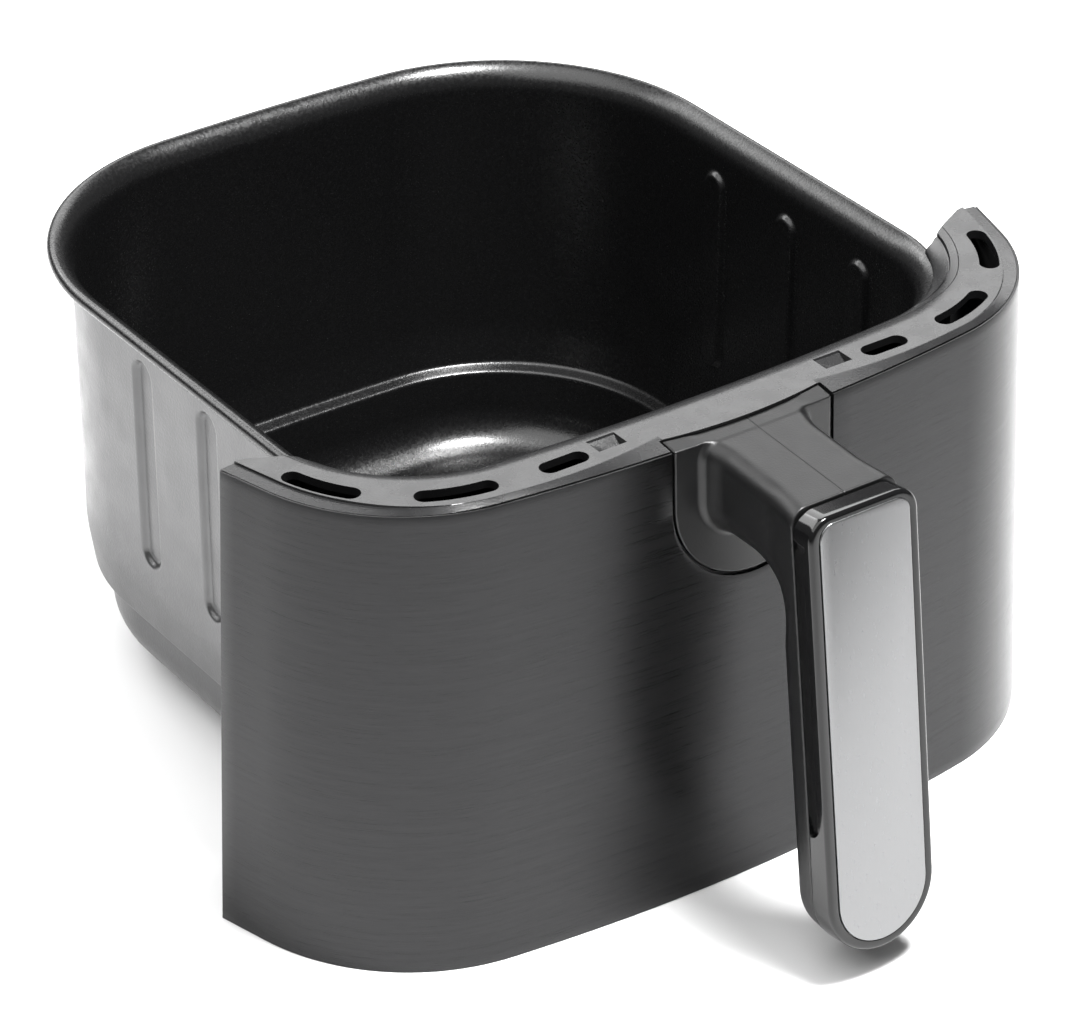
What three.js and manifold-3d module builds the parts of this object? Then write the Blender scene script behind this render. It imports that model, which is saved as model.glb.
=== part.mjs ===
// The drawer of a basket air fryer: a drawn steel pan, the bowed front that it is screwed to,
// and the handle. Millimetres, +Z up. The front faces -Y, and +X is to the right of the front.
// While it is built, y = 0 is the front of the panel's top edge and z = 0 is the panel's foot.

import * as THREE from 'three';
import { ConvexGeometry } from 'three/addons/geometries/ConvexGeometry.js';
import { mergeVertices } from 'three/addons/utils/BufferGeometryUtils.js';
import Module from 'manifold-3d';

const wasm = await Module();
wasm.setup();

// ---------------------------------------------------------------- driving dimensions

const GAP = 0.3; // clearance between two pieces that touch
const FAR = 200; // past the end of anything, for cutters

// front panel, in plan: a shallow bow, a corner arc and a short straight end on each side
const PANEL_HEIGHT = 160;
const PANEL_BOW_RADIUS = 638;
const PANEL_BOW_TURN = 8; // degrees from the middle to the corner arc
const PANEL_CORNER_RADIUS = 63;
const PANEL_END_TURN = 74.6; // degrees at the straight end
const PANEL_END_LENGTH = 18;
const PANEL_FLARE = 7.6; // the foot stands this much further out than the top
const SKIN_THICKNESS = 0.8;

// pan, in plan: the rim's outer edge
const RIM_HALF_WIDTH = 122.5;
const RIM_FRONT = 24.5;
const RIM_BACK = 274.7;
const RIM_BOW_RADIUS = 1000; // front and back edges
const RIM_FRONT_CORNER = 50;
const RIM_BACK_CORNER = 82;

// pan, in section: insets are measured in from the rim's outer edge
const SHEET = 0.9;
const RIM_TOP = 155;
const RIM_ROLL = 2; // outer radius of the rolled edge
const FLARE_RADIUS = 10; // the wall turns out to the rim on this radius
const WALL_INSET = 7.6;
const BEND_Z = 51; // the wall starts to lean in below this
const LEDGE_Z = 36;
const LEDGE_INSET = 9.6;
const LEDGE_DROP = 2;
const WELL_INSET = 15;
const WELL_RADIUS = 15;
const PAN_BOTTOM = 7;

// grooves pressed into the pan's sides
const GROOVE_CENTRES = [90, 129, 168];
const GROOVE_HALF_WIDTH = 6;
const GROOVE_LOW = 63;
const GROOVE_HIGH = 141;
const GROOVE_DEPTH = 1.8;
const GROOVE_RAMP = 2.5;

// bezel: the trim that closes the top of the front
const BEZEL_TOP = 161.2;
const BEZEL_WALL = 2.4;
const BEZEL_FOOT = 155.2;
const BEZEL_BACK = 70; // its two ends stop here
const BEZEL_FLAT_INSET = 3.3; // least width of the bevel in front of the flat top
const LIP_INSET = 3; // the lip overhangs the rim by this much
const LIP_CLEARANCE = 0.4;
const ROUND_START = -6.6; // the flat starts to round over to the lip here
const ROUND_RADIUS = 13.5;
const WIDENING = { reach: 80, rate: 0.0022 }; // the bevel widens this near the middle
const CORNER_WIDENING = { width: 2.2, from: 10, to: 60 }; // and from one turn to another
const UNDERSIDE_DROP = 0.8; // towards the front
const BEZEL_OVERRUN = 6; // its ends are lofted past the panel's, then cut back
const BEZEL_END = { corner: 139, bend: [134.8, 68.4], foot: [119, 60.4] };
const VENT_WIDTH = 6.5;
const VENT_RADIUS = 53.4; // corner vents follow this radius
const CORNER_VENTS = [[7.2, 28], [51.5, 72.5]]; // degrees from the front
const FRONT_VENT = { from: 55.6, to: 66, y: 13.7 };
const POCKET = { length: 11.5, width: 7, depth: 3.4, y: 16, wall: 1.4 };
const POCKET_STARTS = [-48.8, 37];
const CLIP_TURNS = [-40, -4, 4, 40]; // spring clips under the bezel
const CLIP = { width: 10, thickness: 1.6, foot: 144 };
const CLIP_TOP = BEZEL_TOP - 1; // clips and pocket cups start inside the bezel's top
const [CUT_LOW, CUT_HIGH] = [140, 170]; // cutters through the bezel run between these heights

// carrier and rear cover: the moulded inside of the front
const CARRIER_WALL = 3.2;
const CARRIER_FLOOR = 2.5;
const CARRIER_TOP = 154.7;
const COVER_NEAR = 1; // outside the rim's outer edge
const COVER_WALL = 2.4;
const COVER_TOP = 149;

// bracket between the pan and the rear cover
const BRACKET = { low: 50, high: 130, web: 42, foot: 58, sheet: 1.5, flank: 2 };

// handle
const PLATE_HALF_WIDTH = 29.6; // base plate, flush in the panel's cut-out
const PLATE_CENTRE_Z = 140.2; // centre of the plate's round foot
const PLATE_THICKNESS = 2.2;
const HANDLE_TURN = Math.asin(PLATE_HALF_WIDTH / PANEL_BOW_RADIUS) * 180 / Math.PI; // its edge
const CUT_OUT_GAP = 0.7;
const HANDLE_TOP = 160.2;
const ARM_HALF_WIDTH = 18.3;
const ARM_EDGE = 4;
const ARM_UNDERSIDE = 131.5;
const ARM_SWEEP = 16; // radius under the arm
const ARM_DROP = 2.2; // the arm's top falls this much towards the grip
const ARM_FOOT = 95; // the arm runs on inside the grip down to here
const ARM_ROOT = 8; // and back through the base plate's face to here
const ARM_CAVITY = { x: [-12, 12], y: [-37, -18], z: [138, 153] };
const ROOT = { halfWidth: 20.5, foot: 127, corner: 15, length: 6, edge: 2 };
const SEAM_MIDDLE = 4.8; // seam between handle and bezel
const SEAM_RADIUS = 168;
const MOUNT_PLATE = { halfWidth: 25, low: 130, high: 154.4, thickness: 2 };

// grip: in a frame of its own, tilted forward, with its origin at the centre of its round foot
const GRIP_TILT = -7.9; // degrees about X
const GRIP_ORIGIN = new THREE.Vector3(0, -69.9, 29.3);
const GRIP_THICKNESS = 21.5;
const GRIP_EDGE = 5;
const FRAME_HALF_WIDTH = 20.3;
const FRAME_TOP = 130.3;
const FRAME_CORNER = 6;
const FRAME_DEPTH = 9;
const FRAME_EDGE = 2;
const GRIP_WALL = 3;
const INLAY_HALF_WIDTH = 16.8;
const INLAY_TOP = 128.2;
const INLAY_CORNER = 5;
const INLAY_THICKNESS = 1;
const SIDE_SLOT = { low: 27, high: 123, near: 3.2, far: 8.4, depth: 1.4 };

// fasteners
const SCREW = { shank: 2, head: 3.8, headHeight: 2.4, recess: 1.3, recessDepth: 1.2 };
const SCREW_LENGTH = { pan: 10, cover: 14, handle: 19, frame: 13 };
const DRILLED = { handle: [-15, 9], boss: [9, 30], cover: [9, 40], mountPlate: [-9, 20] }; // along y
const NUT = { radius: 4, height: 3.2 };
const BOSS_RADIUS = 5;
const PAN_SCREWS = [[-24, 65], [24, 65], [-24, 115], [24, 115]]; // x, z
const COVER_SCREWS = [[-66, 25], [66, 25], [-66, 132], [66, 132]];
const HANDLE_SCREWS = [[-10, 150], [10, 150], [0, 141]];
const FRAME_SCREWS = [12, 60, 108]; // along the grip

// ---------------------------------------------------------------- solids

const radians = THREE.MathUtils.degToRad;
const degrees = THREE.MathUtils.radToDeg;

// a closed three.js geometry as a manifold solid, with its faces turned outwards
function solid(geometry) {
  const bare = geometry.clone();
  bare.deleteAttribute('normal');
  bare.deleteAttribute('uv');
  const merged = mergeVertices(bare, 1e-3);
  const corners = merged.index.array;
  const faces = [];
  for (let i = 0; i < corners.length; i += 3) {
    const [a, b, c] = [corners[i], corners[i + 1], corners[i + 2]];
    if (a !== b && b !== c && c !== a) faces.push([a, b, c]);
  }
  const build = (triangles) => new wasm.Manifold(new wasm.Mesh({
    numProp: 3,
    vertProperties: new Float32Array(merged.attributes.position.array),
    triVerts: new Uint32Array(triangles.flat()),
  }));
  const body = build(faces);
  return body.volume() > 0 ? body : build(faces.map((face) => face.reverse()));
}

function geometryOf(body) {
  const mesh = body.getMesh();
  const geometry = new THREE.BufferGeometry();
  geometry.setAttribute('position', new THREE.BufferAttribute(mesh.vertProperties, 3));
  geometry.setIndex(new THREE.BufferAttribute(mesh.triVerts, 1));
  geometry.computeVertexNormals();
  return geometry;
}

const join = (bodies) => bodies.reduce((whole, body) => whole.add(body));
const cut = (body, tools) => tools.reduce((rest, tool) => rest.subtract(tool), body);

// a flat row of points as triangles
function capOf(row) {
  const normal = new THREE.Vector3();
  row.forEach((p, i) => normal.add(new THREE.Vector3().crossVectors(p, row[(i + 1) % row.length])));
  normal.normalize();
  const across = new THREE.Vector3().subVectors(row[1], row[0]).normalize();
  const up = new THREE.Vector3().crossVectors(normal, across);
  const flat = row.map((p) => new THREE.Vector2(p.dot(across), p.dot(up)));
  return THREE.ShapeUtils.triangulateShape(flat, []);
}

// closed rows of points joined row to row, with both end rows closed flat
function loft(rows) {
  const count = rows[0].length;
  const positions = rows.flat().flatMap((p) => [p.x, p.y, p.z]);
  const faces = [];
  for (let r = 0; r < rows.length - 1; r += 1) {
    for (let i = 0; i < count; i += 1) {
      const [a, b] = [r * count + i, r * count + (i + 1) % count];
      faces.push(a, b, b + count, a, b + count, a + count);
    }
  }
  const end = (rows.length - 1) * count;
  for (const [a, b, c] of capOf(rows[0])) faces.push(c, b, a);
  for (const [a, b, c] of capOf(rows[rows.length - 1])) faces.push(end + a, end + b, end + c);
  const geometry = new THREE.BufferGeometry();
  geometry.setAttribute('position', new THREE.Float32BufferAttribute(positions, 3));
  geometry.setIndex(faces);
  return solid(geometry);
}

// a plan outline raised from z0 to z1
function slab(shape, z0, z1) {
  const settings = { depth: z1 - z0, bevelEnabled: false, curveSegments: 10 };
  return solid(new THREE.ExtrudeGeometry(shape, settings).translate(0, 0, z0));
}

// an outline in x and z, carried back from y0 to y1; edge rounds it at both faces
function upright(shape, y0, y1, edge = 0) {
  return new THREE.ExtrudeGeometry(shape, {
    depth: y1 - y0 - 2 * edge,
    bevelEnabled: edge > 0,
    bevelSize: edge,
    bevelOffset: -edge,
    bevelThickness: edge,
    bevelSegments: 3,
    curveSegments: 6,
  }).rotateX(Math.PI / 2).translate(0, y1 - edge, 0);
}

function block(x0, x1, y0, y1, z0, z1) {
  return new THREE.BoxGeometry(x1 - x0, y1 - y0, z1 - z0)
    .translate((x0 + x1) / 2, (y0 + y1) / 2, (z0 + z1) / 2);
}

// a round bar along y
function bar(x, z, y0, y1, radius, sides = 16) {
  return new THREE.CylinderGeometry(radius, radius, y1 - y0, sides)
    .translate(x, (y0 + y1) / 2, z);
}

const polygon = (points) => new THREE.Shape(points.map(([x, y]) => new THREE.Vector2(x, y)));

// from one number to another in even steps, both included
function along(from, to, steps) {
  return Array.from({ length: steps + 1 }, (_, i) => from + (to - from) * i / steps);
}

// ---------------------------------------------------------------- panel outline

const PANEL_CORNER_REACH = PANEL_BOW_RADIUS - PANEL_CORNER_RADIUS;
const PANEL_CORNER_CENTRE = new THREE.Vector2(
  PANEL_CORNER_REACH * Math.sin(radians(PANEL_BOW_TURN)),
  PANEL_BOW_RADIUS - PANEL_CORNER_REACH * Math.cos(radians(PANEL_BOW_TURN)),
);

// the panel's top edge at a turn angle from the front, moved in, or carried straight on past it
function panelPoint(turn, inset = 0, beyond = 0) {
  const side = Math.sign(turn) || 1;
  const angle = radians(Math.abs(turn));
  const inBow = Math.abs(turn) <= PANEL_BOW_TURN;
  const centre = inBow ? new THREE.Vector2(0, PANEL_BOW_RADIUS) : PANEL_CORNER_CENTRE;
  const radius = (inBow ? PANEL_BOW_RADIUS : PANEL_CORNER_RADIUS) - inset;
  return new THREE.Vector2(
    side * (centre.x + radius * Math.sin(angle) + beyond * Math.cos(angle)),
    centre.y - radius * Math.cos(angle) + beyond * Math.sin(angle),
  );
}

// stations along the panel, from its left end to its right end
function panelStations(beyond, extraTurns = []) {
  const turns = [
    ...along(0, PANEL_BOW_TURN, 4).slice(1),
    ...along(PANEL_BOW_TURN, PANEL_END_TURN, 9).slice(1),
    ...extraTurns,
  ].sort((a, b) => a - b);
  const half = [...turns.map((turn) => ({ turn, beyond: 0 })), { turn: PANEL_END_TURN, beyond }];
  const left = half.map((s) => ({ ...s, turn: -s.turn })).reverse();
  return [...left, { turn: 0, beyond: 0 }, ...half];
}

const flareAt = (z) => PANEL_FLARE * (PANEL_HEIGHT - z) / PANEL_HEIGHT;

// a point of the flared panel
function skinPoint({ turn, beyond }, inset, z) {
  const p = panelPoint(turn, inset - flareAt(z), beyond);
  return new THREE.Vector3(p.x, p.y, z);
}

// a sheet that follows the flared panel, between two insets and two heights
function panelBand(outer, inner, z0, z1) {
  return loft(panelStations(PANEL_END_LENGTH).map((station) => [
    skinPoint(station, outer, z0),
    skinPoint(station, inner, z0),
    skinPoint(station, inner, z1),
    skinPoint(station, outer, z1),
  ]));
}

// ---------------------------------------------------------------- rim outline

// where each bow of the rim ends, and the centre of its corner arc, front and back
function rimCorner(radius, bowCentreY, towards) {
  const reach = RIM_BOW_RADIUS - radius;
  const turn = Math.asin((RIM_HALF_WIDTH - radius) / reach);
  const centre = new THREE.Vector2(RIM_HALF_WIDTH - radius, bowCentreY + towards * reach * Math.cos(turn));
  return { radius, turn: degrees(turn), centre, bowCentre: new THREE.Vector2(0, bowCentreY) };
}
const FRONT_CORNER = rimCorner(RIM_FRONT_CORNER, RIM_FRONT + RIM_BOW_RADIUS, -1);
const BACK_CORNER = rimCorner(RIM_BACK_CORNER, RIM_BACK - RIM_BOW_RADIUS, 1);

// the rim's outer edge at a turn angle from one end, 0 to 90 degrees, moved in
function rimPoint(corner, turn, inset = 0) {
  const side = Math.sign(turn) || 1;
  const inBow = Math.abs(turn) <= corner.turn;
  const centre = inBow ? corner.bowCentre : corner.centre;
  const radius = (inBow ? RIM_BOW_RADIUS : corner.radius) - inset;
  const away = corner === FRONT_CORNER ? -1 : 1;
  const angle = radians(Math.abs(turn));
  return new THREE.Vector2(
    side * (centre.x + radius * Math.sin(angle)),
    centre.y + away * radius * Math.cos(angle),
  );
}

// the rim's turn that goes with one of the panel's
function rimTurn(turn) {
  const share = (PANEL_END_TURN - FRONT_CORNER.turn) / (PANEL_END_TURN - PANEL_BOW_TURN);
  const size = Math.abs(turn);
  const inBow = size <= PANEL_BOW_TURN;
  const own = inBow
    ? size * FRONT_CORNER.turn / PANEL_BOW_TURN
    : FRONT_CORNER.turn + (size - PANEL_BOW_TURN) * share;
  return Math.sign(turn) * own;
}

// a point beside the rim, carried straight on past its turn
function besideRim({ turn, beyond }, inset, z) {
  const own = rimTurn(turn);
  const p = rimPoint(FRONT_CORNER, own, inset);
  const side = Math.sign(turn) || 1;
  const x = p.x + side * beyond * Math.cos(radians(own));
  return new THREE.Vector3(x, p.y + beyond * Math.sin(radians(Math.abs(own))), z);
}

// ---------------------------------------------------------------- pan

// how far the side wall is pressed in at a point, from 0 to 1
function pressed(y, z) {
  const ramp = (d) => THREE.MathUtils.clamp(d / GROOVE_RAMP, 0, 1);
  const across = GROOVE_CENTRES.map((c) => ramp(GROOVE_HALF_WIDTH - Math.abs(y - c)));
  return Math.max(...across) * Math.min(ramp(z - GROOVE_LOW), ramp(GROOVE_HIGH - z));
}

// one level of the pan, all the way round
function panRow([inset, z]) {
  const grooveSteps = [-GROOVE_HALF_WIDTH, GROOVE_RAMP - GROOVE_HALF_WIDTH];
  const grooveEdges = [...grooveSteps, ...grooveSteps.map((step) => -step).reverse()];
  const right = [
    ...along(0, FRONT_CORNER.turn, 2).map((turn) => rimPoint(FRONT_CORNER, turn, inset)),
    ...along(FRONT_CORNER.turn, 90, 6).slice(1).map((turn) => rimPoint(FRONT_CORNER, turn, inset)),
    ...GROOVE_CENTRES.flatMap((c) => (
      grooveEdges.map((step) => new THREE.Vector2(RIM_HALF_WIDTH - inset, c + step))
    )),
    ...along(90, BACK_CORNER.turn, 7).map((turn) => rimPoint(BACK_CORNER, turn, inset)),
    rimPoint(BACK_CORNER, 0, inset),
  ];
  const left = right.slice(1, -1).reverse();
  const place = (side) => (p) => (
    new THREE.Vector3(side * (p.x - GROOVE_DEPTH * pressed(p.y, z)), p.y, z)
  );
  return [...right.map(place(1)), ...left.map(place(-1))];
}

// an arc of the section as [inset, z] pairs; 0 degrees is towards the middle, 90 is up
function sectionArc(inset, z, radius, from, to, steps) {
  return along(from, to, steps).map((angle) => [
    inset + radius * Math.cos(radians(angle)),
    z + radius * Math.sin(radians(angle)),
  ]);
}

function pan() {
  const flareInset = WALL_INSET + SHEET - FLARE_RADIUS;
  const reach = FLARE_RADIUS - RIM_ROLL;
  const flareTurn = degrees(Math.acos((RIM_ROLL - flareInset) / reach));
  const rollZ = RIM_TOP - RIM_ROLL;
  const flareZ = rollZ - reach * Math.sin(radians(flareTurn));
  // one face of the sheet, from the floor to the rim; it is the outside where offset is 0
  const face = (offset) => [
    ...sectionArc(WELL_INSET + WELL_RADIUS, PAN_BOTTOM + WELL_RADIUS, WELL_RADIUS - offset, 270, 180, 4),
    [WELL_INSET + offset, LEDGE_Z - LEDGE_DROP + offset],
    [LEDGE_INSET + offset, LEDGE_Z + offset],
    [WALL_INSET + offset, BEND_Z],
    [WALL_INSET + offset, GROOVE_LOW],
    [WALL_INSET + offset, GROOVE_LOW + GROOVE_RAMP],
    [WALL_INSET + offset, GROOVE_HIGH - GROOVE_RAMP],
    [WALL_INSET + offset, GROOVE_HIGH],
    ...sectionArc(flareInset, flareZ, FLARE_RADIUS - SHEET + offset, 0, flareTurn, 3),
  ];
  const roll = (radius, steps) => sectionArc(RIM_ROLL, rollZ, radius, flareTurn, 270, steps).slice(1);
  const levels = [
    ...face(SHEET),
    ...roll(RIM_ROLL, 5),
    ...roll(RIM_ROLL - SHEET, 3).reverse(),
    ...face(0).reverse(),
  ];
  return loft(levels.map(panRow));
}

// hat-shaped bracket between the pan's front wall and the rear cover
function panFrontBracket() {
  const { web, foot, sheet, low, high, flank } = BRACKET;
  const front = RIM_FRONT - COVER_NEAR + GAP + 0.5 * web * web / RIM_BOW_RADIUS;
  const wallY = (x) => RIM_FRONT + WALL_INSET - GAP + 0.5 * x * x / RIM_BOW_RADIUS;
  const right = [
    [web, front],
    [web + flank, wallY(web) - sheet],
    [foot, wallY(foot) - sheet],
    [foot, wallY(foot)],
    [web + flank - sheet, wallY(web)],
    [web - flank / 2, front + sheet],
  ];
  const left = right.map(([x, y]) => [-x, y]).reverse();
  const hat = slab(polygon([...right, ...left]), low, high);
  return cut(hat, PAN_SCREWS.map(([x, z]) => clearanceHole(x, z, 0, RIM_FRONT + WALL_INSET)));
}

// ---------------------------------------------------------------- front

// the base plate's outline, carried right through the front and out over its top
function plateBlock(halfWidth) {
  const top = PANEL_HEIGHT + GAP + SKIN_THICKNESS;
  const shape = new THREE.Shape();
  shape.moveTo(-halfWidth, top);
  shape.lineTo(-halfWidth, PLATE_CENTRE_Z);
  shape.absarc(0, PLATE_CENTRE_Z, halfWidth, Math.PI, 2 * Math.PI);
  shape.lineTo(halfWidth, top);
  return solid(upright(shape, -FAR, FAR));
}

function frontSkin() {
  return cut(panelBand(0, SKIN_THICKNESS, 0, PANEL_HEIGHT), [plateBlock(PLATE_HALF_WIDTH + CUT_OUT_GAP)]);
}

const CARRIER_FACE = SKIN_THICKNESS + GAP;
const CARRIER_BACK = CARRIER_FACE + CARRIER_WALL;
const COVER_FACE = -COVER_NEAR - COVER_WALL;
const PLATE_FOOT = PLATE_CENTRE_Z - PLATE_HALF_WIDTH - CUT_OUT_GAP - 1; // just below the base plate

// the wall that closes one end of the carrier
function carrierEnd(side) {
  const turn = side * PANEL_END_TURN;
  return loft([0, CARRIER_TOP].map((z) => [
    skinPoint({ turn, beyond: PANEL_END_LENGTH }, CARRIER_FACE, z),
    skinPoint({ turn, beyond: PANEL_END_LENGTH - CARRIER_WALL }, CARRIER_FACE, z),
    besideRim({ turn, beyond: -CARRIER_WALL }, COVER_FACE - GAP, z),
    besideRim({ turn, beyond: 0 }, COVER_FACE - GAP, z),
  ]));
}

function carrierFloor() {
  const front = panelStations(PANEL_END_LENGTH).map((s) => skinPoint(s, CARRIER_FACE + GAP, 0));
  const back = panelStations(0).map((s) => besideRim(s, -COVER_NEAR, 0)).reverse();
  return slab(polygon([...front, ...back].map((p) => [p.x, p.y])), 0, CARRIER_FLOOR);
}

// the front face of the rear cover at x
const coverY = (x) => RIM_FRONT + COVER_FACE + 0.5 * x * x / RIM_BOW_RADIUS;

function frontCarrier() {
  const recess = panelBand(0, PLATE_THICKNESS + GAP, PLATE_FOOT, PANEL_HEIGHT)
    .intersect(plateBlock(PLATE_HALF_WIDTH + CUT_OUT_GAP));
  const wallY = (x, z) => 0.5 * x * x / PANEL_BOW_RADIUS - flareAt(z) + CARRIER_FACE + CARRIER_WALL / 2;
  const bosses = COVER_SCREWS.map(([x, z]) => (
    solid(bar(x, z, wallY(x, z), coverY(x) - GAP, BOSS_RADIUS))
  ));
  const holes = [
    ...HANDLE_SCREWS.map(([x, z]) => clearanceHole(x, z, ...DRILLED.handle)),
    ...COVER_SCREWS.map(([x, z]) => clearanceHole(x, z, ...DRILLED.boss)),
  ];
  const body = join([
    panelBand(CARRIER_FACE, CARRIER_BACK, 0, CARRIER_TOP),
    carrierFloor(),
    carrierEnd(-1),
    carrierEnd(1),
    ...bosses,
  ]);
  return cut(body, [recess, ...holes]);
}

function rearCover() {
  const foot = CARRIER_FLOOR + GAP;
  const band = loft(panelStations(0).map((s) => [
    besideRim(s, COVER_FACE, foot),
    besideRim(s, -COVER_NEAR, foot),
    besideRim(s, -COVER_NEAR, COVER_TOP),
    besideRim(s, COVER_FACE, COVER_TOP),
  ]));
  return cut(band, [...PAN_SCREWS, ...COVER_SCREWS].map(([x, z]) => (
    clearanceHole(x, z, ...DRILLED.cover)
  )));
}

function handleMountPlate() {
  const { halfWidth, low, high, thickness } = MOUNT_PLATE;
  const front = CARRIER_BACK + GAP;
  const band = panelBand(front, front + thickness, low, high);
  const plate = band.intersect(solid(block(-halfWidth, halfWidth, -FAR, FAR, -FAR, FAR)));
  return cut(plate, HANDLE_SCREWS.map(([x, z]) => clearanceHole(x, z, ...DRILLED.mountPlate)));
}

// ---------------------------------------------------------------- bezel

// width of the bevel between the skin and the flat top; the handle cuts the wide part off
function bevelWidth(turn) {
  if (Math.abs(turn) < HANDLE_TURN) return BEZEL_FLAT_INSET;
  const { width, from, to } = CORNER_WIDENING;
  const towardsHandle = Math.max(0, WIDENING.reach - Math.abs(panelPoint(turn).x));
  const roundCorner = THREE.MathUtils.smoothstep(Math.abs(turn), from, to);
  return BEZEL_FLAT_INSET + WIDENING.rate * towardsHandle ** 2 + width * roundCorner;
}

// one section of the bezel: up the front, over the top, round to the lip and back underneath
function bezelSection(station) {
  const outer = (inset, z) => {
    const p = panelPoint(station.turn, inset, station.beyond);
    return new THREE.Vector3(p.x, p.y, z);
  };
  const inner = (inset, z) => besideRim({ ...station, beyond: station.beyond / 2 }, inset, z);
  const lipTurn = degrees(Math.asin((LIP_INSET - ROUND_START) / ROUND_RADIUS));
  const round = along(0, lipTurn, 4).map((turn) => inner(
    ROUND_START + ROUND_RADIUS * Math.sin(radians(turn)),
    BEZEL_TOP - ROUND_RADIUS * (1 - Math.cos(radians(turn))),
  ));
  const underside = BEZEL_TOP - BEZEL_WALL;
  return [
    outer(CARRIER_FACE, BEZEL_FOOT),
    outer(CARRIER_FACE, PANEL_HEIGHT),
    outer(bevelWidth(station.turn), BEZEL_TOP),
    ...round,
    inner(LIP_INSET, RIM_TOP + LIP_CLEARANCE),
    inner(-COVER_NEAR, RIM_TOP + LIP_CLEARANCE),
    inner(-COVER_NEAR, COVER_TOP + GAP),
    inner(COVER_FACE, COVER_TOP + GAP),
    inner(COVER_FACE, underside),
    outer(CARRIER_FACE + BEZEL_WALL, underside - UNDERSIDE_DROP),
    outer(CARRIER_FACE + BEZEL_WALL, BEZEL_FOOT),
  ];
}

// a slot with round ends that follows an arc about the panel's corner
function cornerVent(side, [from, to]) {
  const [near, far] = [VENT_RADIUS - VENT_WIDTH / 2, VENT_RADIUS + VENT_WIDTH / 2];
  const centre = PANEL_CORNER_CENTRE;
  const shape = new THREE.Shape();
  const [start, end] = [from, to].map((turn) => radians(turn) - Math.PI / 2);
  const endCap = (angle, opening) => shape.absarc(
    centre.x + VENT_RADIUS * Math.cos(angle),
    centre.y + VENT_RADIUS * Math.sin(angle),
    VENT_WIDTH / 2, opening, opening + Math.PI,
  );
  shape.absarc(centre.x, centre.y, far, start, end);
  endCap(end, end);
  shape.absarc(centre.x, centre.y, near, end, start, true);
  endCap(start, start + Math.PI);
  return mirrored(shape, side);
}

// a straight slot with round ends beside the handle
function frontVent(side) {
  const { from, to, y } = FRONT_VENT;
  const shape = new THREE.Shape();
  shape.absarc(from, y, VENT_WIDTH / 2, Math.PI / 2, 1.5 * Math.PI);
  shape.absarc(to, y, VENT_WIDTH / 2, -Math.PI / 2, Math.PI / 2);
  return mirrored(shape, side);
}

const mirrored = (shape, side) => (
  new THREE.Shape(shape.getPoints(5).map((p) => new THREE.Vector2(side * p.x, p.y)))
);

// a three-cornered pocket that deepens to the front right
function pocket(x) {
  const { length, width, depth, y } = POCKET;
  const [front, back, right] = [y - width / 2, y + width / 2, x + length];
  const above = BEZEL_TOP + 2;
  const corners = [
    [x, front, BEZEL_TOP], [right, back, BEZEL_TOP], [right, front, BEZEL_TOP - depth],
    [x, front, above], [right, back, above], [right, front, above],
  ];
  return solid(new ConvexGeometry(corners.map((corner) => new THREE.Vector3(...corner))));
}

function pocketCup(x) {
  const { length, width, depth, y, wall } = POCKET;
  const floor = BEZEL_TOP - depth - wall;
  const [front, back] = [y - width / 2 - wall, y + width / 2];
  return solid(block(x - wall, x + length + wall, front, back, floor, CLIP_TOP));
}

// a spring clip that reaches down behind the carrier's wall
function clip(turn) {
  const middle = panelPoint(turn, CARRIER_BACK + GAP + CLIP.thickness / 2);
  const strip = new THREE.BoxGeometry(CLIP.width, CLIP.thickness, CLIP_TOP - CLIP.foot)
    .rotateZ(radians(turn))
    .translate(middle.x, middle.y, (CLIP_TOP + CLIP.foot) / 2);
  return solid(strip);
}

// what lies behind one of the bezel's ends, which run back to the pan at a slant
function bezelEndCut(side) {
  const { corner, bend, foot } = BEZEL_END;
  const outline = [
    [FAR, BEZEL_BACK], [corner, BEZEL_BACK], bend, foot, [0, foot[1]], [0, FAR], [FAR, FAR],
  ];
  return slab(mirrored(polygon(outline), side), CUT_LOW, CUT_HIGH);
}

// plan outline of the handle's top where it meets the bezel
function seamOutline(halfWidth, clearance, front) {
  const centreY = SEAM_MIDDLE + SEAM_RADIUS;
  const radius = SEAM_RADIUS + clearance;
  const turn = Math.asin(halfWidth / radius);
  const shape = new THREE.Shape();
  shape.moveTo(-halfWidth, front);
  shape.lineTo(halfWidth, front);
  shape.absarc(0, centreY, radius, turn - Math.PI / 2, -turn - Math.PI / 2, true);
  return shape;
}

function topBezel() {
  const handleEdges = [HANDLE_TURN - 0.05, HANDLE_TURN + 0.05];
  const ring = loft(panelStations(PANEL_END_LENGTH + BEZEL_OVERRUN, handleEdges).map(bezelSection));
  const sides = [-1, 1];
  const vents = sides.flatMap((side) => [
    ...CORNER_VENTS.map((range) => cornerVent(side, range)),
    frontVent(side),
  ]);
  const handleRoom = slab(seamOutline(PLATE_HALF_WIDTH + CUT_OUT_GAP, -GAP, -FAR), CUT_LOW, CUT_HIGH);
  const body = join([ring, ...POCKET_STARTS.map(pocketCup), ...CLIP_TURNS.map(clip)]);
  return cut(body, [
    ...sides.map(bezelEndCut),
    ...vents.map((vent) => slab(vent, BEZEL_FOOT, CUT_HIGH)),
    ...POCKET_STARTS.map(pocket),
    handleRoom,
  ]);
}

// ---------------------------------------------------------------- handle

// front outline of the grip: round foot, straight sides, rounded top corners
function gripOutline(halfWidth, top, corner) {
  const shape = new THREE.Shape();
  shape.absarc(0, 0, halfWidth, Math.PI, 2 * Math.PI);
  shape.absarc(halfWidth - corner, top - corner, corner, 0, Math.PI / 2);
  shape.absarc(corner - halfWidth, top - corner, corner, Math.PI / 2, Math.PI);
  return shape;
}

const inPlace = (geometry) => geometry;
const toGrip = (geometry) => geometry.rotateX(radians(GRIP_TILT)).translate(...GRIP_ORIGIN);

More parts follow.
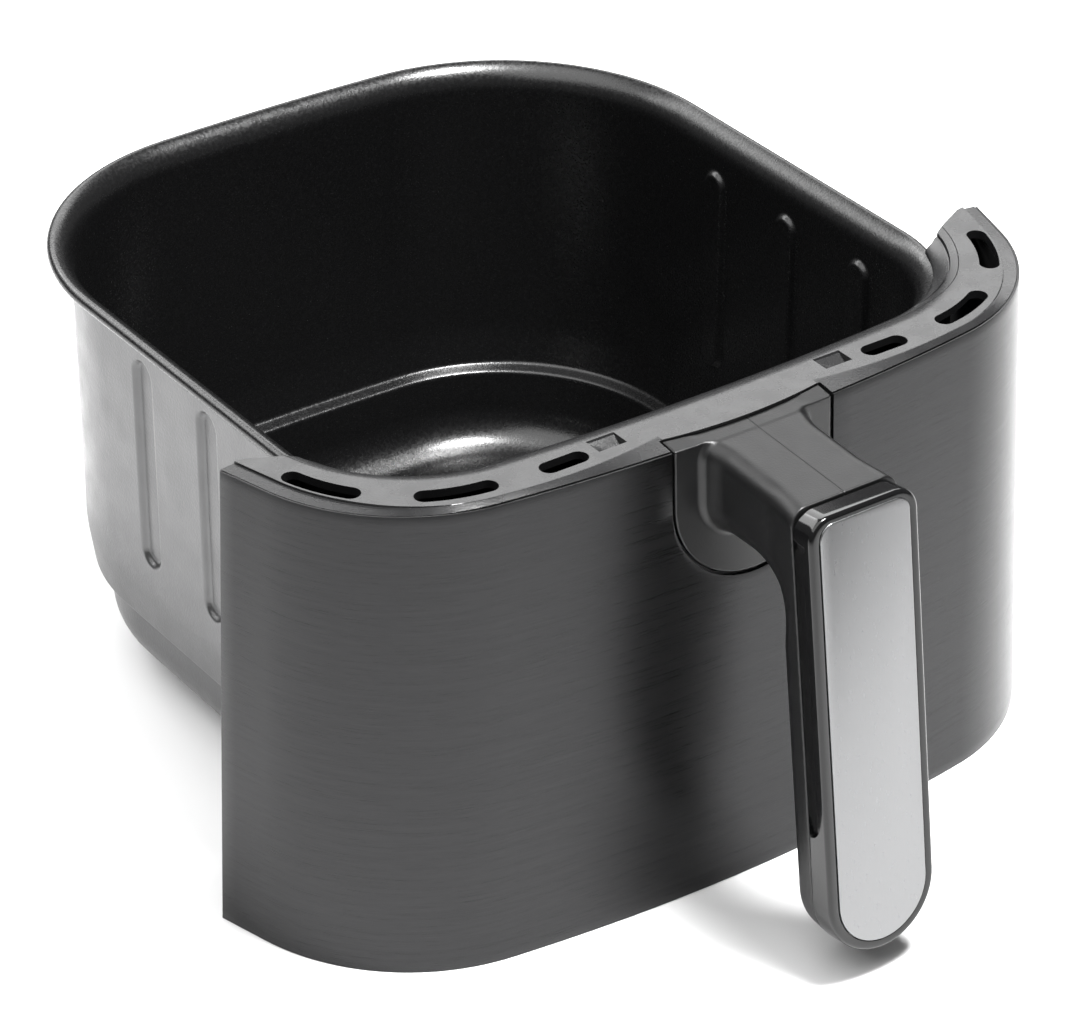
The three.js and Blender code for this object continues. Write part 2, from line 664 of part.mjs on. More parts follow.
// the grip's front plane at a height
const gripFrontY = (z) => GRIP_ORIGIN.y - (z - GRIP_ORIGIN.z) * Math.tan(radians(GRIP_TILT));

// the hollow of the grip between two depths, less the screw bosses that stand in it
function gripHollow(near, far, place) {
  const [halfWidth, top] = [FRAME_HALF_WIDTH - GRIP_WALL, FRAME_TOP - GRIP_WALL];
  const hollow = upright(gripOutline(halfWidth, top, FRAME_CORNER - GRIP_WALL), near, far);
  const bosses = FRAME_SCREWS.map((z) => bar(0, z, near - 1, far + 1, BOSS_RADIUS));
  return cut(solid(place(hollow)), bosses.map((boss) => solid(place(boss))));
}

// the arm seen from the side: flat top, straight underside and a round sweep into the grip
function armOutline() {
  const gripY = (z, behind) => gripFrontY(z) + behind / Math.cos(radians(GRIP_TILT));
  const armTop = HANDLE_TOP - ARM_DROP;
  const sweepZ = ARM_UNDERSIDE - ARM_SWEEP;
  const sweepY = gripY(sweepZ, GRIP_THICKNESS) + ARM_SWEEP;
  const front = FRAME_DEPTH - ARM_EDGE; // inside the grip, where the frame's seam trims it
  const shape = new THREE.Shape();
  shape.moveTo(ARM_ROOT, HANDLE_TOP);
  shape.lineTo(0, HANDLE_TOP);
  shape.lineTo(gripY(armTop, front), armTop);
  shape.lineTo(gripY(ARM_FOOT, front), ARM_FOOT);
  shape.lineTo(gripY(ARM_FOOT, GRIP_THICKNESS) - 1, ARM_FOOT);
  shape.absarc(sweepY, sweepZ, ARM_SWEEP, Math.PI, Math.PI / 2, true);
  shape.lineTo(ARM_ROOT, ARM_UNDERSIDE);
  return shape;
}

function arm() {
  const inside = ARM_HALF_WIDTH - ARM_EDGE;
  return solid(new THREE.ExtrudeGeometry(armOutline(), {
    depth: 2 * inside,
    bevelSize: ARM_EDGE,
    bevelOffset: -ARM_EDGE,
    bevelThickness: ARM_EDGE,
    bevelSegments: 3,
    curveSegments: 8,
  }).rotateX(Math.PI / 2).rotateZ(Math.PI / 2).translate(-inside, 0, 0));
}

// the wider root of the arm on its base plate
function armRoot() {
  const { halfWidth, foot, corner, length, edge } = ROOT;
  const shape = new THREE.Shape();
  shape.moveTo(-halfWidth, HANDLE_TOP);
  shape.absarc(corner - halfWidth, foot + corner, corner, Math.PI, 1.5 * Math.PI);
  shape.absarc(halfWidth - corner, foot + corner, corner, 1.5 * Math.PI, 2 * Math.PI);
  shape.lineTo(halfWidth, HANDLE_TOP);
  return solid(upright(shape, -length, length, edge));
}

function handleBody() {
  const seam = FRAME_DEPTH + GAP;
  const plateFace = GAP; // just inside the base plate at every height of the arm
  const shell = upright(
    gripOutline(FRAME_HALF_WIDTH, FRAME_TOP, FRAME_CORNER), seam - GRIP_EDGE, GRIP_THICKNESS, GRIP_EDGE);
  const outside = cut(join([arm(), armRoot(), solid(toGrip(shell))]), [
    solid(block(-FAR, FAR, plateFace, FAR, -FAR, FAR)),
    solid(toGrip(block(-FAR, FAR, -FAR, seam, -FAR, FAR))),
  ]);
  const plate = panelBand(0, PLATE_THICKNESS, PLATE_FOOT, PANEL_HEIGHT)
    .intersect(plateBlock(PLATE_HALF_WIDTH));
  const tongue = slab(seamOutline(PLATE_HALF_WIDTH, GAP, 1), CARRIER_TOP + GAP, HANDLE_TOP);
  const frameHoles = FRAME_SCREWS.map((z) => (
    solid(toGrip(bar(0, z, seam - 1, GRIP_THICKNESS - GRIP_WALL, SCREW.shank + GAP)))
  ));
  return cut(join([outside, plate, tongue]), [
    gripHollow(seam - 1, GRIP_THICKNESS - GRIP_WALL, toGrip),
    solid(block(...ARM_CAVITY.x, ...ARM_CAVITY.y, ...ARM_CAVITY.z)),
    ...HANDLE_SCREWS.map(([x, z]) => clearanceHole(x, z, ...DRILLED.handle)),
    ...frameHoles,
  ]);
}

// ---------------------------------------------------------------- the grip's front, in its own frame

const FRAME_FRONT = 0.4; // the frame lies this far behind the inlay's face
const SEAT = 4.2; // the screws' heads bear here

function handleFrontFrame() {
  const outline = gripOutline(FRAME_HALF_WIDTH, FRAME_TOP, FRAME_CORNER);
  const whole = solid(upright(outline, FRAME_FRONT, FRAME_DEPTH + FRAME_EDGE, FRAME_EDGE));
  const bed = gripOutline(INLAY_HALF_WIDTH + GAP, INLAY_TOP + GAP, INLAY_CORNER + GAP);
  const { low, high, near, far, depth } = SIDE_SLOT;
  const wall = FRAME_HALF_WIDTH - depth;
  const slots = [[-FAR, -wall], [wall, FAR]].map(([x0, x1]) => (
    solid(block(x0, x1, near, far, low, high))
  ));
  return cut(whole, [
    solid(block(-FAR, FAR, FRAME_DEPTH, FAR, -FAR, FAR)),
    solid(upright(bed, -1, INLAY_THICKNESS + GAP)),
    gripHollow(INLAY_THICKNESS + GRIP_WALL, FRAME_DEPTH + 1, inPlace),
    ...slots,
    ...FRAME_SCREWS.map((z) => solid(bar(0, z, 0, SEAT, SCREW.head + GAP))),
    ...FRAME_SCREWS.map((z) => clearanceHole(0, z, 0, FRAME_DEPTH + 1)),
  ]);
}

const handleInlay = () => (
  solid(upright(gripOutline(INLAY_HALF_WIDTH, INLAY_TOP, INLAY_CORNER), 0, INLAY_THICKNESS))
);

// ---------------------------------------------------------------- fasteners

const clearanceHole = (x, z, y0, y1) => solid(bar(x, z, y0, y1, SCREW.shank + GAP, 8));

// a screw along +y with its head's outer face at the origin
function screw(length) {
  const { shank, head, headHeight, recess, recessDepth } = SCREW;
  const profile = [
    [0, recessDepth], [recess, recessDepth], [recess, 0], [head, 0],
    [head, headHeight], [shank, headHeight], [shank, headHeight + length], [0, headHeight + length],
  ];
  return solid(new THREE.LatheGeometry(profile.map(([r, y]) => new THREE.Vector2(r, y)), 8));
}

// a hexagonal nut along +y from the origin
const nut = () => (
  solid(bar(0, 0, 0, NUT.height, NUT.radius, 6)).subtract(clearanceHole(0, 0, -1, NUT.height + 1))
);

// ---------------------------------------------------------------- assembly

const material = (color, roughness, metalness) => (
  new THREE.MeshStandardMaterial({ color, roughness, metalness })
);
const nonstick = material(0x1b1b1c, 0.42, 0.2);
const brushedDark = material(0x4b4c4d, 0.38, 0.9);
const bezelPlastic = material(0x2b2c2d, 0.45, 0);
const handlePlastic = material(0x2a2b2c, 0.5, 0);
const glossPlastic = material(0x0b0b0c, 0.12, 0);
const silver = material(0xc4c6c8, 0.3, 0.95);
const innerPlastic = material(0x1f2021, 0.6, 0);
const zincSteel = material(0xa9adb0, 0.35, 1);

function piece(name, body, look, position = [0, 0, 0], turned = false) {
  const mesh = new THREE.Mesh(geometryOf(body), look);
  mesh.name = name;
  mesh.position.set(...position);
  mesh.rotation.z = turned ? Math.PI : 0;
  return mesh;
}

// rows of like fasteners, numbered from 1
const pieces = (name, places, body, look, position, turned) => (
  places.map((place, i) => piece(`${name}_${i + 1}`, body, look, position(place), turned))
);

const grip = new THREE.Group();
grip.position.copy(GRIP_ORIGIN);
grip.rotation.x = radians(GRIP_TILT);
grip.add(
  piece('handle_front_frame', handleFrontFrame(), glossPlastic),
  piece('handle_inlay', handleInlay(), silver),
  ...pieces('frame_screw', FRAME_SCREWS, screw(SCREW_LENGTH.frame), zincSteel,
    (z) => [0, SEAT - GAP - SCREW.headHeight, z]),
);

const coverBackY = (x) => coverY(x) + COVER_WALL;
const plateBackY = (z) => CARRIER_BACK + GAP + MOUNT_PLATE.thickness - flareAt(z);
const bracketBackY = RIM_FRONT - COVER_NEAR + GAP + 0.5 * BRACKET.web ** 2 / RIM_BOW_RADIUS + BRACKET.sheet;

const drawer = new THREE.Group();
drawer.add(
  piece('pan', pan(), nonstick),
  piece('pan_front_bracket', panFrontBracket(), zincSteel),
  piece('front_carrier', frontCarrier(), innerPlastic),
  piece('rear_cover', rearCover(), innerPlastic),
  piece('front_skin', frontSkin(), brushedDark),
  piece('top_bezel', topBezel(), bezelPlastic),
  piece('handle_body', handleBody(), handlePlastic),
  piece('handle_mount_plate', handleMountPlate(), zincSteel),
  ...pieces('pan_screw', PAN_SCREWS, screw(SCREW_LENGTH.pan), zincSteel,
    ([x, z]) => [x, coverY(x) - GAP - SCREW.headHeight, z]),
  ...pieces('pan_nut', PAN_SCREWS, nut(), zincSteel, ([x, z]) => [x, bracketBackY + GAP, z]),
  ...pieces('cover_screw', COVER_SCREWS, screw(SCREW_LENGTH.cover), zincSteel,
    ([x, z]) => [x, coverBackY(x) + GAP + SCREW.headHeight, z], true),
  ...pieces('handle_screw', HANDLE_SCREWS, screw(SCREW_LENGTH.handle), zincSteel,
    ([x, z]) => [x, plateBackY(z) + 2 * GAP + SCREW.headHeight, z], true),
  grip,
);

// the origin goes under the middle of the whole drawer
const bounds = new THREE.Box3().setFromObject(drawer, true);
drawer.position.y = -(bounds.min.y + bounds.max.y) / 2;

const part = new THREE.Group();
part.add(drawer);
export default part;
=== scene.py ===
"""The looks of the air fryer drawer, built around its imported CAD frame.

Shapes are worked out in millimetres in the drawer's own axes: y = 0 is the front of the panel's top
edge, z = 0 is its foot. place() turns them into metres in the frame's axes.
"""

import math

import bmesh
import bpy
import numpy as np
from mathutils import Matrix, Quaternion, Vector


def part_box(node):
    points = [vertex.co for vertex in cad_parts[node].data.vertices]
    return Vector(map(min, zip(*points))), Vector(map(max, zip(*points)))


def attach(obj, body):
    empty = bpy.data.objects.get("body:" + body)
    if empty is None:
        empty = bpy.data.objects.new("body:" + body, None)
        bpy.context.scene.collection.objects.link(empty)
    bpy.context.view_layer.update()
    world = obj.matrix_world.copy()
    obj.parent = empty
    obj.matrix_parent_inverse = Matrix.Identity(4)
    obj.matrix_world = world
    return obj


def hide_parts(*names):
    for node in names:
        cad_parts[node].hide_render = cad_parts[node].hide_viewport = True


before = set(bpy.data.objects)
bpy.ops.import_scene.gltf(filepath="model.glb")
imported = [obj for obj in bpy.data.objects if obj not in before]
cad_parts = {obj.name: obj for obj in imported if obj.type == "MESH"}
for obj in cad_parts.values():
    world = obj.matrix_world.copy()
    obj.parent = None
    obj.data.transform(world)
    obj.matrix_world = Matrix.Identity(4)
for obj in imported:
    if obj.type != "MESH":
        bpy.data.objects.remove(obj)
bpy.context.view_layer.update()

MM = 0.001

# ----------------------------------------------------- driving dimensions, millimetres and degrees

pan_low, pan_high = (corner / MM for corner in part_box("pan"))
skin_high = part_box("front_skin")[1] / MM

# front panel in plan: a shallow bow, a corner arc and a short straight end on each side
PANEL_HEIGHT = skin_high.z
BOW_RADIUS = 638.0
BOW_TURN = 8.0
CORNER_RADIUS = 63.0
END_TURN = 74.6
END_LENGTH = 18.0
FLARE = 7.6
SKIN_THICKNESS = 0.8

# pan rim in plan
RIM_HALF_WIDTH = 122.5
RIM_FRONT = 24.5
RIM_BACK = RIM_FRONT + 250.2
RIM_BOW_RADIUS = 1000.0
RIM_FRONT_CORNER = 50.0
RIM_BACK_CORNER = 82.0
ORIGIN_SHIFT = pan_high.y - RIM_BACK  # from the drawer's own axes to the frame's

# pan in section
SHEET = 0.9
RIM_TOP = 155.0
RIM_ROLL = 2.0
FLARE_RADIUS = 10.0
WALL_INSET = 7.6
BEND_Z = 51.0
LEDGE_Z = 36.0
LEDGE_INSET = 9.6
LEDGE_DROP = 0.6
LEDGE_FILLET = 1.6
BEND_FILLET = 5.0
WELL_INSET = 15.0
WELL_RADIUS = 15.0
PAN_BOTTOM = pan_low.z
GROOVES = (90.0, 129.0, 168.0)
GROOVE_HALF_WIDTH = 6.0
GROOVE_LOW = 63.0
GROOVE_HIGH = 141.0
GROOVE_DEPTH = 1.8
GROOVE_FLAT = 0.66  # share of the groove's half width that its flat floor takes
GROOVE_GUARD = 0.7  # beyond a groove, where the plain wall's faces start

# bezel
BEZEL_TOP = 161.2
BEZEL_WALL = 2.4
BEZEL_FOOT = 155.2
BEZEL_BACK = 70.0
BEVEL_WIDTH = 3.3
LIP_INSET = 3.0
LIP_FOOT = 155.4
ROUND_START = -6.6
ROUND_RADIUS = 13.5
BEVEL_STEP = 0.7  # from the flat down to the bevel, in the corners
BEVEL_RAISE = 0.35  # of the front edge, along the bow
WIDENING_START = 80.0
WIDENING_RATE = 0.0022
CORNER_WIDENING = 2.2
CORNER_START = 12.0  # turns between which the bevel's step and the shoulder groove grow
CORNER_FULL = 45.0
HAIRLINE_INSET = -1.9
HAIRLINE_DRIFT = 3.0
HAIRLINE_HALF_WIDTH = 0.15
HAIRLINE_DEPTH = 0.25
SHOULDER_INSET = 0.6
SHOULDER_DRIFT = 2.9
SHOULDER_GROOVE = 1.2
SHOULDER_LEDGE = 0.5
COVER_NEAR = 1.0
COVER_WALL = 2.4
COVER_TOP = 149.0
VENT_WIDTH = 6.5
VENT_RADIUS = 53.4
CORNER_VENTS = ((7.2, 28.0), (51.5, 72.5))
FRONT_VENT = (55.6, 66.0, 13.7)
POCKET = {"length": 10.2, "width": 7.0, "depth": 4.0, "y": 16.0, "slant": 0.5}
POCKET_STARTS = (-48.8, 37.0)
BEZEL_END = ((139.0, BEZEL_BACK), (137.0, 69.6), (134.8, 68.4), (119.0, 60.4))  # from the skin to the pan
CUT_OUTSIDE = 180.0  # the cutters reach past the bezel to these
CUT_INSIDE = 90.0
CUT_BEHIND = 120.0
VENT_CUT_LOW = 150.0
CUT_LOW = 140.0
CUT_HIGH = 170.0

# handle
PLATE_HALF_WIDTH = 29.6
PLATE_CENTRE_Z = 140.2
PLATE_THICKNESS = 2.2
CUT_OUT_GAP = 1.0
SEAM_GAP = 0.22
HANDLE_TURN = math.degrees(math.asin(PLATE_HALF_WIDTH / BOW_RADIUS))
ARM_HALF_WIDTH = 18.3
ARM_TOP = 160.1
ARM_FALL = 0.05  # slope of the arm's top, down towards the grip
ARM_FOOT = 127.0
ARM_SWEEP = 15.0
ARM_EDGE = 6.0
ARM_FRONT_EDGE = 0.5
ARM_SINK = 1.0  # how far the arm reaches in behind the skin
GRIP_WIDENING = 1.8  # of half the arm, where it meets the frame
ROOT_WIDENING = 1.6  # of half the arm, where it meets the plate
ROOT_FILLET = 2.2
UNDER_EDGE_GROWTH = 8.0  # the lower edges are rounder under the arm than down the grip
PLATE_EDGE = 0.6
TONGUE_EDGE = 0.35
WING_TOP = PANEL_HEIGHT - 0.1  # the plate's top beside the arm
WING_FALL = 0.13
WING_EDGE = 0.5
HANDLE_BOX = ((-31.0, 31.0), (-66.0, 9.0), (5.0, 162.0))
NET_STEP = 0.6
LINE_DEPTH = 0.18  # the parting line along the arm's top
LINE_HALF_WIDTH = 0.16
SEAM_MIDDLE = 4.8  # where the seam between handle and bezel comes furthest forward
SEAM_RADIUS = 168.0
GRIP_TILT = math.radians(7.9)
GRIP_ORIGIN = Vector((0, -69.9, 29.3))
GRIP_THICKNESS = 21.5
FRAME_HALF_WIDTH = 20.3
FRAME_TOP = 130.3
FRAME_DEPTH = 9.0
FRAME_GAP = 0.4
FRAME_FRONT = 0.4
FRAME_CORNER = 7.6
FRAME_EDGE = 1.4
SLOT = {"low": 23.0, "high": 124.0, "near": 3.3, "far": 8.5, "depth": 1.5, "tip": 7.0}
INLAY_HALF_WIDTH = 16.8
INLAY_TOP = 128.2
INLAY_CORNER = 5.0

# the photograph's viewpoint, in degrees and in the drawer's own millimetres
CAMERA_AZIMUTH = -35.3607
CAMERA_ELEVATION = 31.8719
CAMERA_ROLL = 0.1747
CAMERA_TARGET = (-1.066, 110.0, 73.939)
CAMERA_DISTANCE = 1378.406
CAMERA_LENS = 139.857
FLOOR_HALF_SIZE = 6000.0
FLOOR_DROP = 0.2

# ------------------------------------------------------------------ meshes


def place(points):
    """Drawer millimetres to frame metres."""
    out = np.array(points, float).reshape(-1, 3)
    out[:, 1] += ORIGIN_SHIFT
    return out * MM


def from_grip(points):
    """The grip's own tilted axes (x, depth behind its front, height) to drawer millimetres."""
    p = np.array(points, float).reshape(-1, 3)
    cos, sin = math.cos(GRIP_TILT), math.sin(GRIP_TILT)
    y = p[:, 1] * cos + p[:, 2] * sin
    z = -p[:, 1] * sin + p[:, 2] * cos
    return np.column_stack([p[:, 0], y, z]) + np.array(GRIP_ORIGIN)


def make_object(name, points, faces, material, sharp=35.0, looks=None):
    """A finished piece: outward faces, its material and slot; looks says which material each face has."""
    mesh = bpy.data.meshes.new(name)
    mesh.from_pydata(place(points).tolist(), [], [list(map(int, face)) for face in faces])
    if looks is not None:
        mesh.polygons.foreach_set("material_index", looks)
    bm = bmesh.new()
    bm.from_mesh(mesh)
    bmesh.ops.remove_doubles(bm, verts=bm.verts, dist=1e-7)
    bmesh.ops.recalc_face_normals(bm, faces=bm.faces)
    bm.to_mesh(mesh)
    bm.free()
    finish_mesh(mesh, sharp)
    piece = bpy.data.objects.new(name, mesh)
    bpy.context.scene.collection.objects.link(piece)
    mesh.materials.append(material)
    return piece


def finish_mesh(mesh, sharp):
    """Smooth shading, with edges kept where the faces turn more than sharp degrees."""
    mesh.polygons.foreach_set("use_smooth", np.ones(len(mesh.polygons), bool))
    mesh.set_sharp_from_angle(angle=math.radians(sharp))
    mesh.update()


def loft_faces(rows, count, closed_rows=False, caps=True):
    """Quads between rows of a closed loop of count points, with the end rows filled."""
    faces = []
    for r in range(rows if closed_rows else rows - 1):
        a, b = r * count, (r + 1) % rows * count
        for i in range(count):
            j = (i + 1) % count
            faces.append((a + i, a + j, b + j, b + i))
    if caps and not closed_rows:
        faces.append(tuple(range(count))[::-1])
        faces.append(tuple((rows - 1) * count + i for i in range(count)))
    return faces


def loft(name, rows, material, closed_rows=False, caps=True, sharp=35.0, coated_rows=None):
    """A piece through rows of points. With coated_rows, the faces after them have its second material."""
    count = len(rows[0])
    points = np.concatenate([np.array(row, float) for row in rows])
    faces = loft_faces(len(rows), count, closed_rows, caps)
    looks = None
    if coated_rows is not None:
        inner_floor = len(faces) - 2
        looks = [int(i >= coated_rows * count and i != inner_floor) for i in range(len(faces))]
    return make_object(name, points, faces, material, sharp, looks)


def apply_modifiers(piece, sharp=35.0):
    """Turns the piece's modifiers into mesh."""
    bpy.context.view_layer.update()
    graph = bpy.context.evaluated_depsgraph_get()
    mesh = bpy.data.meshes.new_from_object(piece.evaluated_get(graph))
    piece.modifiers.clear()
    piece.data = mesh
    if sharp is not None:
        finish_mesh(mesh, sharp)


def add_bevel(piece, width, segments=2, angle=40.0):
    bevel = piece.modifiers.new("bevel", "BEVEL")
    bevel.width = width * MM
    bevel.segments = segments
    bevel.limit_method = "ANGLE"
    bevel.angle_limit = math.radians(angle)
    bevel.miter_outer = "MITER_ARC"
    return bevel


def cut_away(piece, cutters):
    """Takes the cutters out of the piece."""
    for cutter in cutters:
        boolean = piece.modifiers.new("cut", "BOOLEAN")
        boolean.operation = "DIFFERENCE"
        boolean.solver = "EXACT"
        boolean.object = cutter
    apply_modifiers(piece)
    for cutter in cutters:
        bpy.data.objects.remove(cutter)


def cutter_object(points, faces):
    mesh = bpy.data.meshes.new("cutter")
    mesh.from_pydata(place(points).tolist(), [], faces)
    bm = bmesh.new()
    bm.from_mesh(mesh)
    bmesh.ops.recalc_face_normals(bm, faces=bm.faces)
    bm.to_mesh(mesh)
    bm.free()
    cutter = bpy.data.objects.new("cutter", mesh)
    bpy.context.scene.collection.objects.link(cutter)
    return cutter


def prism(outline, z0, z1):
    """A throwaway solid for cutting: a plan outline between two heights."""
    rows = [[(x, y, z) for x, y in outline] for z in (z0, z1)]
    return cutter_object(np.concatenate(rows), loft_faces(2, len(outline)))


def smooth(x, low, high):
    """0 below low, 1 above high, and a soft ramp between."""
    t = np.clip((np.asarray(x, float) - low) / (high - low), 0, 1)
    return t * t * (3 - 2 * t)


# ------------------------------------------------------------------ outlines


def panel_point(turn, inset=0.0, beyond=0.0):
    """The panel's top edge at a turn angle from the front, moved in, or carried straight on."""
    side = -1.0 if turn < 0 else 1.0
    angle = math.radians(abs(turn))
    bow = math.radians(BOW_TURN)
    cx, cy, radius = 0.0, BOW_RADIUS, BOW_RADIUS
    if abs(turn) > BOW_TURN:
        reach = BOW_RADIUS - CORNER_RADIUS
        cx, cy, radius = reach * math.sin(bow), BOW_RADIUS - reach * math.cos(bow), CORNER_RADIUS
    radius -= inset
    x = cx + radius * math.sin(angle) + beyond * math.cos(angle)
    return side * x, cy - radius * math.cos(angle) + beyond * math.sin(angle)


CORNER_CENTRE = (
    (BOW_RADIUS - CORNER_RADIUS) * math.sin(math.radians(BOW_TURN)),
    BOW_RADIUS - (BOW_RADIUS - CORNER_RADIUS) * math.cos(math.radians(BOW_TURN)),
)


def flare_at(z):
    return FLARE * (PANEL_HEIGHT - z) / PANEL_HEIGHT


def skin_point(turn, beyond, inset, z):
    x, y = panel_point(turn, inset - flare_at(z), beyond)
    return x, y, z


def rim_corner(front):
    radius = RIM_FRONT_CORNER if front else RIM_BACK_CORNER
    away = -1.0 if front else 1.0
    bow_y = RIM_FRONT + RIM_BOW_RADIUS if front else RIM_BACK - RIM_BOW_RADIUS
    reach = RIM_BOW_RADIUS - radius
    turn = math.asin((RIM_HALF_WIDTH - radius) / reach)
    return {
        "radius": radius,
        "away": away,
        "bow_y": bow_y,
        "turn": math.degrees(turn),
        "x": RIM_HALF_WIDTH - radius,
        "y": bow_y + away * reach * math.cos(turn),
    }


FRONT_CORNER, BACK_CORNER = rim_corner(True), rim_corner(False)


def rim_point(corner, turn, inset=0.0):
    """The rim's outer edge at a turn angle from its front or back, moved in."""
    side = -1.0 if turn < 0 else 1.0
    angle = math.radians(abs(turn))
    x, y, radius = 0.0, corner["bow_y"], RIM_BOW_RADIUS
    if abs(turn) > corner["turn"]:
        x, y, radius = corner["x"], corner["y"], corner["radius"]
    radius -= inset
    return side * (x + radius * math.sin(angle)), y + corner["away"] * radius * math.cos(angle)


def beside_rim(turn, beyond, inset, z):
    """The point beside the rim that goes with a turn of the panel."""
    size = abs(turn)
    if size <= BOW_TURN:
        own = size * FRONT_CORNER["turn"] / BOW_TURN
    else:
        share = (END_TURN - FRONT_CORNER["turn"]) / (END_TURN - BOW_TURN)
        own = FRONT_CORNER["turn"] + (size - BOW_TURN) * share
    side = -1.0 if turn < 0 else 1.0
    x, y = rim_point(FRONT_CORNER, side * own, inset)
    return x + side * beyond * math.cos(math.radians(own)), y + beyond * math.sin(math.radians(own)), z


def stations(beyond, bow_steps=8, corner_steps=36, end_steps=3):
    """(turn, beyond) pairs along the panel, from its left end to its right end."""
    near = np.linspace(0, HANDLE_TURN - 0.02, bow_steps // 2 + 1)[1:]
    half = [(turn, 0.0) for turn in near]
    half += [(turn, 0.0) for turn in np.linspace(HANDLE_TURN + 0.02, BOW_TURN, bow_steps)]
    half += [(turn, 0.0) for turn in np.linspace(BOW_TURN, END_TURN, corner_steps + 1)[1:]]
    half += [(END_TURN, b) for b in np.linspace(0, beyond, end_steps + 1)[1:]]
    return [(-turn, b) for turn, b in reversed(half)] + [(0.0, 0.0)] + half


# ------------------------------------------------------------------ materials


class Look:
    """A principled material built up node by node. Lengths in it are metres."""

    def __init__(self, name, colour, roughness, metallic=0.0, ior=1.5):
        self.material = bpy.data.materials.new(name)
        self.material.use_nodes = True
        self.tree = self.material.node_tree
        self.shader = self.tree.nodes["Principled BSDF"]
        self.shader.inputs["Base Color"].default_value = (*colour, 1)
        self.shader.inputs["Roughness"].default_value = roughness
        self.shader.inputs["Metallic"].default_value = metallic
        self.shader.inputs["IOR"].default_value = ior
        self.colour = colour
        self.roughness = roughness
        self.coordinates = self.tree.nodes.new("ShaderNodeTexCoord").outputs["Object"]
        self.height = None

    def node(self, kind, **settings):
        made = self.tree.nodes.new(kind)
        for key, value in settings.items():
            setattr(made, key, value)
        return made

    def link(self, source, target):
        self.tree.links.new(source, target)

    def math(self, operation, a, b=None, clamp=False):
        made = self.node("ShaderNodeMath", operation=operation, use_clamp=clamp)
        for socket, value in zip(made.inputs, (a, b)):
            if value is None:
                continue
            if isinstance(value, (int, float)):
                socket.default_value = value
            else:
                self.link(value, socket)
        return made.outputs[0]

    def stretched(self, scale):
        mapping = self.node("ShaderNodeMapping")
        mapping.inputs["Scale"].default_value = scale
        self.link(self.coordinates, mapping.inputs["Vector"])
        return mapping.outputs["Vector"]

    def noise(self, scale=(1, 1, 1), size=1.0, detail=2.0, roughness=0.5):
        """Noise from 0 to 1 whose features are about size metres across, divided by scale."""
        made = self.node("ShaderNodeTexNoise")
        made.inputs["Scale"].default_value = 1.0 / size
        made.inputs["Detail"].default_value = detail
        made.inputs["Roughness"].default_value = roughness
        self.link(self.stretched(scale), made.inputs["Vector"])
        return made.outputs["Fac"]

    def spread(self, value, low, high, to_low=0.0, to_high=1.0):
        made = self.node("ShaderNodeMapRange")
        made.inputs["From Min"].default_value = low
        made.inputs["From Max"].default_value = high
        made.inputs["To Min"].default_value = to_low
        made.inputs["To Max"].default_value = to_high
        self.link(value, made.inputs["Value"])
        return made.outputs["Result"]

    def vary_roughness(self, value, amount):
        low, high = self.roughness - amount, self.roughness + amount
        self.link(self.spread(value, 0.3, 0.7, low, high), self.shader.inputs["Roughness"])

    def vary_colour(self, value, factor_low, factor_high):
        """Darkens or lightens the base colour with a value that goes from 0 to 1."""
        mix = self.node("ShaderNodeMix", data_type="RGBA")
        mix.inputs["A"].default_value = (*(c * factor_low for c in self.colour), 1)
        mix.inputs["B"].default_value = (*(c * factor_high for c in self.colour), 1)
        self.link(value, mix.inputs["Factor"])
        self.link(mix.outputs["Result"], self.shader.inputs["Base Color"])

    def bump(self, value, depth):
        """Raises the surface by value times depth metres; calls add up."""
        made = self.node("ShaderNodeBump")
        made.inputs["Strength"].default_value = 1.0
        made.inputs["Distance"].default_value = depth
        self.link(value, made.inputs["Height"])
        if self.height is not None:
            self.link(self.height, made.inputs["Normal"])
        self.height = made.outputs["Normal"]
        self.link(self.height, self.shader.inputs["Normal"])


def nonstick_inside():
    look = Look("nonstick_inside", (0.004, 0.004, 0.0042), 0.27, ior=1.52)
    grains = look.noise(size=0.0006, detail=3)
    look.bump(grains, 0.00005)
    look.bump(look.noise(size=0.006), 0.00004)
    look.vary_roughness(look.noise(size=0.0012), 0.06)
    flecks = look.spread(look.noise(size=0.0005, detail=1), 0.66, 0.74)
    look.vary_colour(flecks, 1.0, 3.0)
    return look.material


def pan_outside():
    look = Look("pan_outside", (0.105, 0.105, 0.106), 0.36, metallic=0.9)
    look.bump(look.noise(size=0.0008, detail=3), 0.0001)
    look.vary_roughness(look.noise(size=0.01), 0.04)
    look.vary_colour(look.noise(size=0.02, detail=4), 0.92, 1.06)
    return look.material


def brushed_skin():
    look = Look("dark_brushed_metal", (0.032, 0.032, 0.0327), 0.3, metallic=0.95)
    fine = look.noise(scale=(1, 1, 70), size=0.012, detail=5, roughness=0.75)
    coarse = look.noise(scale=(1, 1, 24), size=0.04, detail=3)
    streaks = look.math("ADD", look.math("MULTIPLY", fine, 0.75), look.math("MULTIPLY", coarse, 0.25))
    look.vary_colour(look.spread(streaks, 0.35, 0.65), 0.84, 1.16)
    look.vary_roughness(streaks, 0.07)
    look.bump(fine, 0.000025)
    look.shader.inputs["Anisotropic"].default_value = 0.7
    look.shader.inputs["Anisotropic Rotation"].default_value = 0.25
    tangent = look.node("ShaderNodeTangent", direction_type="RADIAL", axis="Z")
    look.link(tangent.outputs["Tangent"], look.shader.inputs["Tangent"])
    return look.material


